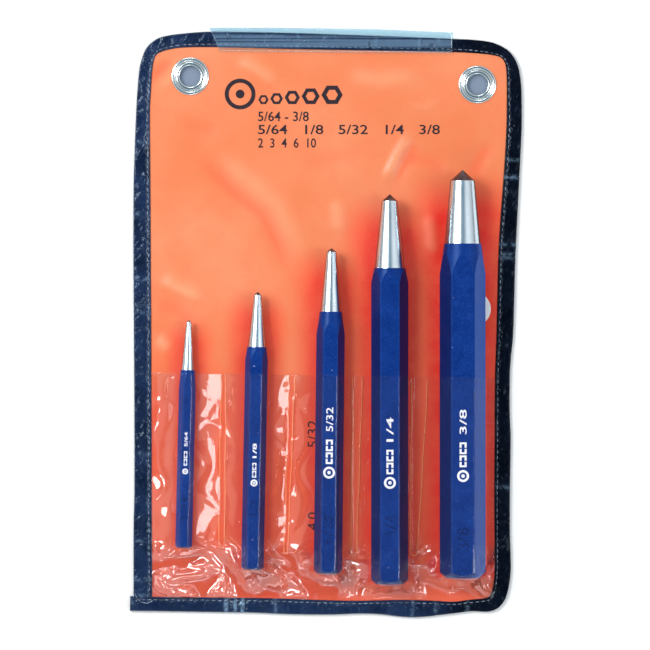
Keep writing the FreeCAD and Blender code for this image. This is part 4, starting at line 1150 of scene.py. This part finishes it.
def letters(body, x0, x1, y0, y1, zfun, lift, turn=False, to_xy=None, thick=0.03, bold=0.008):
    """Plain figures, filling the box x0..x1, y0..y1; turn stands them on end, reading up."""
    cu = bpy.data.curves.new("figures", "FONT")
    cu.body = body
    cu.size = 1.0
    cu.resolution_u = 3
    cu.offset = bold
    o = bpy.data.objects.new("figures", cu)
    scene.collection.objects.link(o)
    bpy.context.view_layer.update()
    me = bpy.data.meshes.new_from_object(o.evaluated_get(bpy.context.evaluated_depsgraph_get()))
    v_ = np.array([q.co[:2] for q in me.vertices])
    faces = [list(p.vertices) for p in me.polygons]
    bpy.data.objects.remove(o)
    bpy.data.meshes.remove(me)
    bpy.data.curves.remove(cu)
    lo_, hi_ = v_.min(0), v_.max(0)
    u = (v_ - lo_) / (hi_ - lo_)
    if turn:
        q = np.column_stack([x1 - u[:, 1] * (x1 - x0), y0 + u[:, 0] * (y1 - y0)])
    else:
        q = np.column_stack([x0 + u[:, 0] * (x1 - x0), y0 + u[:, 1] * (y1 - y0)])
    if to_xy:
        X, Y = to_xy(q[:, 0], q[:, 1])
        q = np.column_stack([X, Y])
    # faces that look down are turned over
    out = []
    for f_ in faces:
        a_, b_, c_ = q[f_[0]], q[f_[1]], q[f_[2]]
        area = (b_[0] - a_[0]) * (c_[1] - a_[1]) - (b_[1] - a_[1]) * (c_[0] - a_[0])
        out.append(f_ if area > 0 else f_[::-1])
    return closed_flat(q, out, zfun(q[:, 0], q[:, 1]) + lift, thick)


marks = []
PL = 0.045
# a centre mark, ring and dot, then five hexagons of rising size
marks.append(ring_patch(-34.3, 91.5, 4.55, 6.15, 56, panel_height, PL))
marks.append(ring_patch(-34.3, 91.5, 0.05, 1.75, 32, panel_height, PL))
hx_ = -27.0
for r in (2.05, 2.5, 3.05, 3.6, 4.25):
    marks.append(ring_patch(hx_ + r, 87.5 + r * 0.866, r * 0.55, r, 6, panel_height, PL, None, 0.0, 5))
    hx_ += 2 * r + 0.72
marks.append(letters("5/64 - 3/8", -27.1, -6.8, 80.6, 84.5, panel_height, PL))
marks.append(letters("5/64   1/8   5/32   1/4   3/8", -27.1, 45.7, 75.4, 79.2, panel_height, PL))
marks.append(letters("2  3  4  6  10", -27.1, -3.9, 70.0, 73.8, panel_height, PL))
# the size of each place, printed behind its punch
for k, inch, mil in ((1, "5/64", "2.0"), (2, "1/8", "3.2"), (3, "5/32", "4.0"), (4, "1/4", "6.4"), (5, "3/8", "9.5")):
    af, length, tip, paint, face, ex, ey, lean = PUNCH[k]
    cx_ = ex + math.tan(math.radians(lean)) * 50 - (6.9 if k == 3 else 0.4)
    marks.append(letters(inch, cx_ - 1.8, cx_ + 2.2, -50.0, -50.0 + 2.7 * len(inch), panel_height, PL, True, bold=0.0))
    marks.append(letters(mil, cx_ - 1.8, cx_ + 2.2, -83.2, -83.2 + 2.4 * len(mil), panel_height, PL, True, bold=0.0))
mv, mf = join_parts(marks)
ink = mesh_object("panel_print", mv, mf, INK, False)
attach(ink, "pouch")

# white marks on the bars, reading from the struck end up: ring and dot, blocks, then the bar's size
MARKS = {1: (-60.6, -43.8, 0.95), 2: (-65.4, -48.2, 1.15), 3: (-62.2, -33.8, 1.95), 4: (-66.2, -37.8, 1.95), 5: (-63.4, -34.6, 1.95)}
SIZE = {1: "5/64", 2: "1/8", 3: "5/32", 4: "1/4", 5: "3/8"}
for k, (y_low, y_top, half) in MARKS.items():
    af, length, tip, paint, face, ex, ey, lean = PUNCH[k]
    a = math.radians(lean)
    s0 = (y_low - ey) / math.cos(a)
    s1 = (y_top - ey) / math.cos(a)
    span = s1 - s0

    def on_bar(s_, d_, ex=ex, ey=ey, a=a):
        return ex + s_ * math.sin(a) + d_ * math.cos(a), ey + s_ * math.cos(a) - d_ * math.sin(a)

    def across_bar(d_, s_, f_=on_bar):
        return f_(s_, d_)

    ztop = REST_Z + af

    def zf(x, y, ztop=ztop):
        return np.full(np.broadcast(x, y).shape, ztop)

    parts = []
    LIFT = 0.004
    r = half * 1.22
    parts.append(ring_patch(s0 + r, 0, r * (0.62 if k > 2 else 0.50), r, 28, zf, LIFT, on_bar))
    parts.append(ring_patch(s0 + r, 0, 0.02, r * 0.30, 18, zf, LIFT, on_bar))
    b0, b1 = s0 + span * 0.205, s0 + span * 0.565
    step_ = (b1 - b0) / 4
    for j in range(4):
        p0, p1 = b0 + j * step_, b0 + (j + 0.80) * step_
        w0 = half * 0.72
        parts.append(bar_patch(p0, p1, -w0, -w0 * 0.42, zf, LIFT, on_bar))
        parts.append(bar_patch(p0, p1, w0 * 0.42, w0, zf, LIFT, on_bar))
        if j % 2 == 0:
            parts.append(bar_patch(p0, p0 + (p1 - p0) * 0.34, -w0 * 0.42, w0 * 0.42, zf, LIFT, on_bar))
        else:
            parts.append(bar_patch(p1 - (p1 - p0) * 0.34, p1, -w0 * 0.42, w0 * 0.42, zf, LIFT, on_bar))
    parts.append(letters(SIZE[k], -half * 0.72, half * 0.72, s0 + span * 0.66, s1, zf, LIFT, True, across_bar, bold=0.008 if k > 2 else 0.022))
    vv, ffc = join_parts(parts)
    mk = mesh_object("punch_%d_mark" % k, vv, ffc, WHITE_INK, False)
    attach(mk, "punch_body_%d" % k)


# ------------------------------------------------------------------ steel and enamel on the CAD pieces
def steel_material(k):
    af, length, tip, paint, face, ex, ey, lean = PUNCH[k]
    m = Mat("steel_%d" % k)
    rot = (0, 0, math.radians(lean))
    v = m.coords((1, 1, 1), rot)
    fine = m.noise(m.coords((0.2, 30, 0.2), rot), 400.0, 2.0, 0.6)
    spots = m.noise(v, 300.0, 3.0, 0.6)
    polish = m.noise(v, 120.0, 2.0, 0.5)
    col = m.mix(m.rng(fine, 0.35, 0.7, 0.0, 0.5), (0.68, 0.78, 0.85, 1), (0.62, 0.73, 0.81, 1))
    col = m.mix(m.rng(spots, 0.6, 0.8, 0.0, 0.2), col, (0.50, 0.52, 0.55, 1))
    nrm = m.bump(spots, 0.02, 0.00003)
    # painted reflection: the ground point is painted darker than the polished taper, standing in for the dim, shaded
    # surroundings it reflects
    a = math.radians(lean)
    s_tip = length - {1: .85, 2: 1.20, 3: 1.55, 4: 2.70, 5: 4.40}[k] + 0.02
    px_, py_ = ex + s_tip * math.sin(a), ey + s_tip * math.cos(a)
    dot = m.n("VectorMath", _operation="DOT_PRODUCT")
    tc_ = m.n("TexCoord")
    m.t.links.new(tc_.outputs["Object"], dot.inputs[0])
    dot.inputs[1].default_value = (math.sin(a), math.cos(a), 0)
    level = (px_ * math.sin(a) + py_ * math.cos(a)) * MM
    tip_on = m.rng(dot.outputs["Value"], level - 0.00004, level + 0.00004, 0.0, 1.0)
    col = m.mix(tip_on, col, m.mix(m.rng(spots, 0.35, 0.7, 0.0, 1.0), (0.075, 0.055, 0.060, 1), (0.22, 0.19, 0.20, 1)))
    # painted reflection: the flanks low on the taper are painted near black, standing in for the shaded panel they face
    gn_ = m.n("NewGeometry")
    nup_ = m.n("SeparateXYZ")
    m.t.links.new(gn_.outputs["Normal"], nup_.inputs[0])
    rim = m.rng(nup_.outputs[2], 0.30, 0.48, 0.82, 0.0)
    col = m.mix(m.math("MULTIPLY", rim, m.math("SUBTRACT", 1.0, tip_on)), col, (0.020, 0.026, 0.060, 1))
    rg_ = m.math("ADD", m.rng(polish, 0.3, 0.75, 0.22, 0.27), m.math("MULTIPLY", tip_on, 0.16))
    bs = m.n("BsdfPrincipled", Base__Color=col, Roughness=rg_, Normal=nrm)
    bs.inputs["Metallic"].default_value = 1.0
    return m.done(bs)


def enamel_material(k):
    m = Mat("enamel_%d" % k)
    v = m.coords(loc=(k * 0.13, k * 0.07, 0))
    grain = m.noise(v, 1500.0, 3.0, 0.65)
    cloud = m.noise(v, 160.0, 4.0, 0.6)
    peel = m.noise(v, 700.0, 2.0, 0.5)
    dust = m.n("TexVoronoi", Vector=v, Scale=620.0, Randomness=1.0)
    col = m.mix(m.ramp(cloud, 0.35, 0.7), (0.0016, 0.0205, 0.150, 1), (0.0030, 0.0300, 0.200, 1))
    col = m.mix(m.rng(grain, 0.50, 0.74, 0.0, 0.50), col, (0.012, 0.072, 0.36, 1))
    speck = m.math("MULTIPLY", m.rng(dust.outputs["Distance"], 0.06, 0.13, 1.0, 0.0),
                   m.rng(m.noise(v, 210.0, 2.0), 0.62, 0.68, 0.0, 0.9), True)
    col = m.mix(speck, col, (0.55, 0.62, 0.85, 1))
    # painted shade: the floor of the stamped size is painted darker
    af, length, tip, paint, face, ex, ey, lean = PUNCH[k]
    a_ = math.radians(lean)
    tc_ = m.n("TexCoord")
    off_ = m.n("VectorMath", _operation="DOT_PRODUCT")
    m.t.links.new(tc_.outputs["Object"], off_.inputs[0])
    off_.inputs[1].default_value = (math.cos(a_), -math.sin(a_), 0)
    mid_ = (ex * math.cos(a_) - ey * math.sin(a_)) * MM
    on_top = m.rng(m.math("ABSOLUTE", m.math("SUBTRACT", off_.outputs["Value"], mid_)), 0.262 * af * MM, 0.270 * af * MM, 1.0, 0.0)
    up_ = m.n("SeparateXYZ")
    m.t.links.new(tc_.outputs["Object"], up_.inputs[0])
    deep = m.rng(up_.outputs[2], (REST_Z + af - 0.10) * MM, (REST_Z + af - 0.03) * MM, 1.0, 0.0)
    above = m.rng(up_.outputs[2], (REST_Z + af - 0.5) * MM, (REST_Z + af - 0.4) * MM, 0.0, 1.0)
    stamp = m.math("MULTIPLY", m.math("MULTIPLY", on_top, deep), above)
    far_ = m.n("VectorMath", _operation="DOT_PRODUCT")
    m.t.links.new(tc_.outputs["Object"], far_.inputs[0])
    far_.inputs[1].default_value = (math.sin(a_), math.cos(a_), 0)
    edge_at = (ex * math.sin(a_) + ey * math.cos(a_) + length * 0.34) * MM
    stamp = m.math("MULTIPLY", stamp, m.rng(far_.outputs["Value"], edge_at - 0.0005, edge_at + 0.0005, 1.0, 0.0))
    # painted light and shade: each bar's left and right sloping faces are painted lighter or darker, by how the light
    # reaches them past the neighbouring bars
    gn_ = m.n("NewGeometry")
    up2 = m.n("SeparateXYZ")
    m.t.links.new(gn_.outputs["Normal"], up2.inputs[0])
    slope_ = m.rng(m.math("ABSOLUTE", up2.outputs[2]), 0.46, 0.66, 1.0, 0.0)
    right_ = m.rng(up2.outputs[0], -0.05, 0.05, 0.0, 1.0)
    tone_l, tone_r = {1: (0.35, 0.25), 2: (-0.10, -0.55), 3: (-0.50, -0.70), 4: (-0.60, -0.95), 5: (-0.60, 0.85)}[k]
    for amount_, sel in ((tone_l, m.math("SUBTRACT", 1.0, right_)), (tone_r, right_)):
        col = m.mix(m.math("MULTIPLY", m.math("MULTIPLY", slope_, sel), abs(amount_)), col,
                    (0.008, 0.070, 0.36, 1) if amount_ > 0 else (0.0012, 0.0040, 0.040, 1))
    # painted shade in the stamped recess
    col = m.mix(m.math("MULTIPLY", stamp, m.rng(grain, 0.40, 0.60, 0.85, 0.25)), col, (0.0012, 0.006, 0.045, 1))
    nrm = m.bump(peel, 0.35, 0.00012)
    nrm = m.bump(grain, 0.35, 0.00006, nrm)
    bs = m.n("BsdfPrincipled", Base__Color=col, Roughness=m.rng(cloud, 0.3, 0.8, 0.30, 0.42), Normal=nrm)
    bs.inputs["Specular IOR Level"].default_value = 0.30
    bs.inputs["Specular Tint"].default_value = (0.30, 0.52, 1.0, 1)
    return m.done(bs)


def dress(name, mat, smooth_angle=22.0):
    o = nodes[name]
    o.data.materials.clear()
    o.data.materials.append(mat)
    o.data.polygons.foreach_set("use_smooth", np.ones(len(o.data.polygons), bool))
    return o


for k in PUNCH:
    dress("punch_%d" % k, steel_material(k))
    dress("enamel_%d" % k, enamel_material(k))
m = Mat("sticker")
nz = m.noise(m.coords(), 700.0, 3.0)
bs = m.n("BsdfPrincipled", Base__Color=m.mix(nz, (0.86, 0.90, 0.90, 1), (0.97, 0.98, 0.98, 1)), Roughness=0.25, Normal=m.bump(nz, 0.1, 0.00005))
dress("round_sticker", m.done(bs))

# ------------------------------------------------------------------ floor
m = Mat("floor")
nz = m.noise(m.coords(), 3.0, 3.0)
shade = None
for hx, hy in GROMMET.values():
    # the table seen down the two hanging holes is in shade
    loc = m.n("VectorMath", _operation="DISTANCE")
    tc_ = m.n("TexCoord")
    m.t.links.new(tc_.outputs["Object"], loc.inputs[0])
    loc.inputs[1].default_value = (hx * MM, hy * MM, -0.00015)
    one = m.rng(loc.outputs["Value"], 0.0055, 0.0065, 1.0, 0.0)
    shade = one if shade is None else m.math("MAXIMUM", shade, one)
base_ = m.mix(nz, (0.90, 0.90, 0.905, 1), (0.93, 0.93, 0.93, 1))
bs = m.n("BsdfPrincipled", Base__Color=m.mix(shade, base_, (0.165, 0.215, 0.30, 1)), Roughness=0.6)
FLOOR = m.done(bs)
fl = mesh_object("floor", [(-2500, -2500, -0.15), (2500, -2500, -0.15), (2500, 2500, -0.15), (-2500, 2500, -0.15)], [[0, 1, 2, 3]], FLOOR, False)
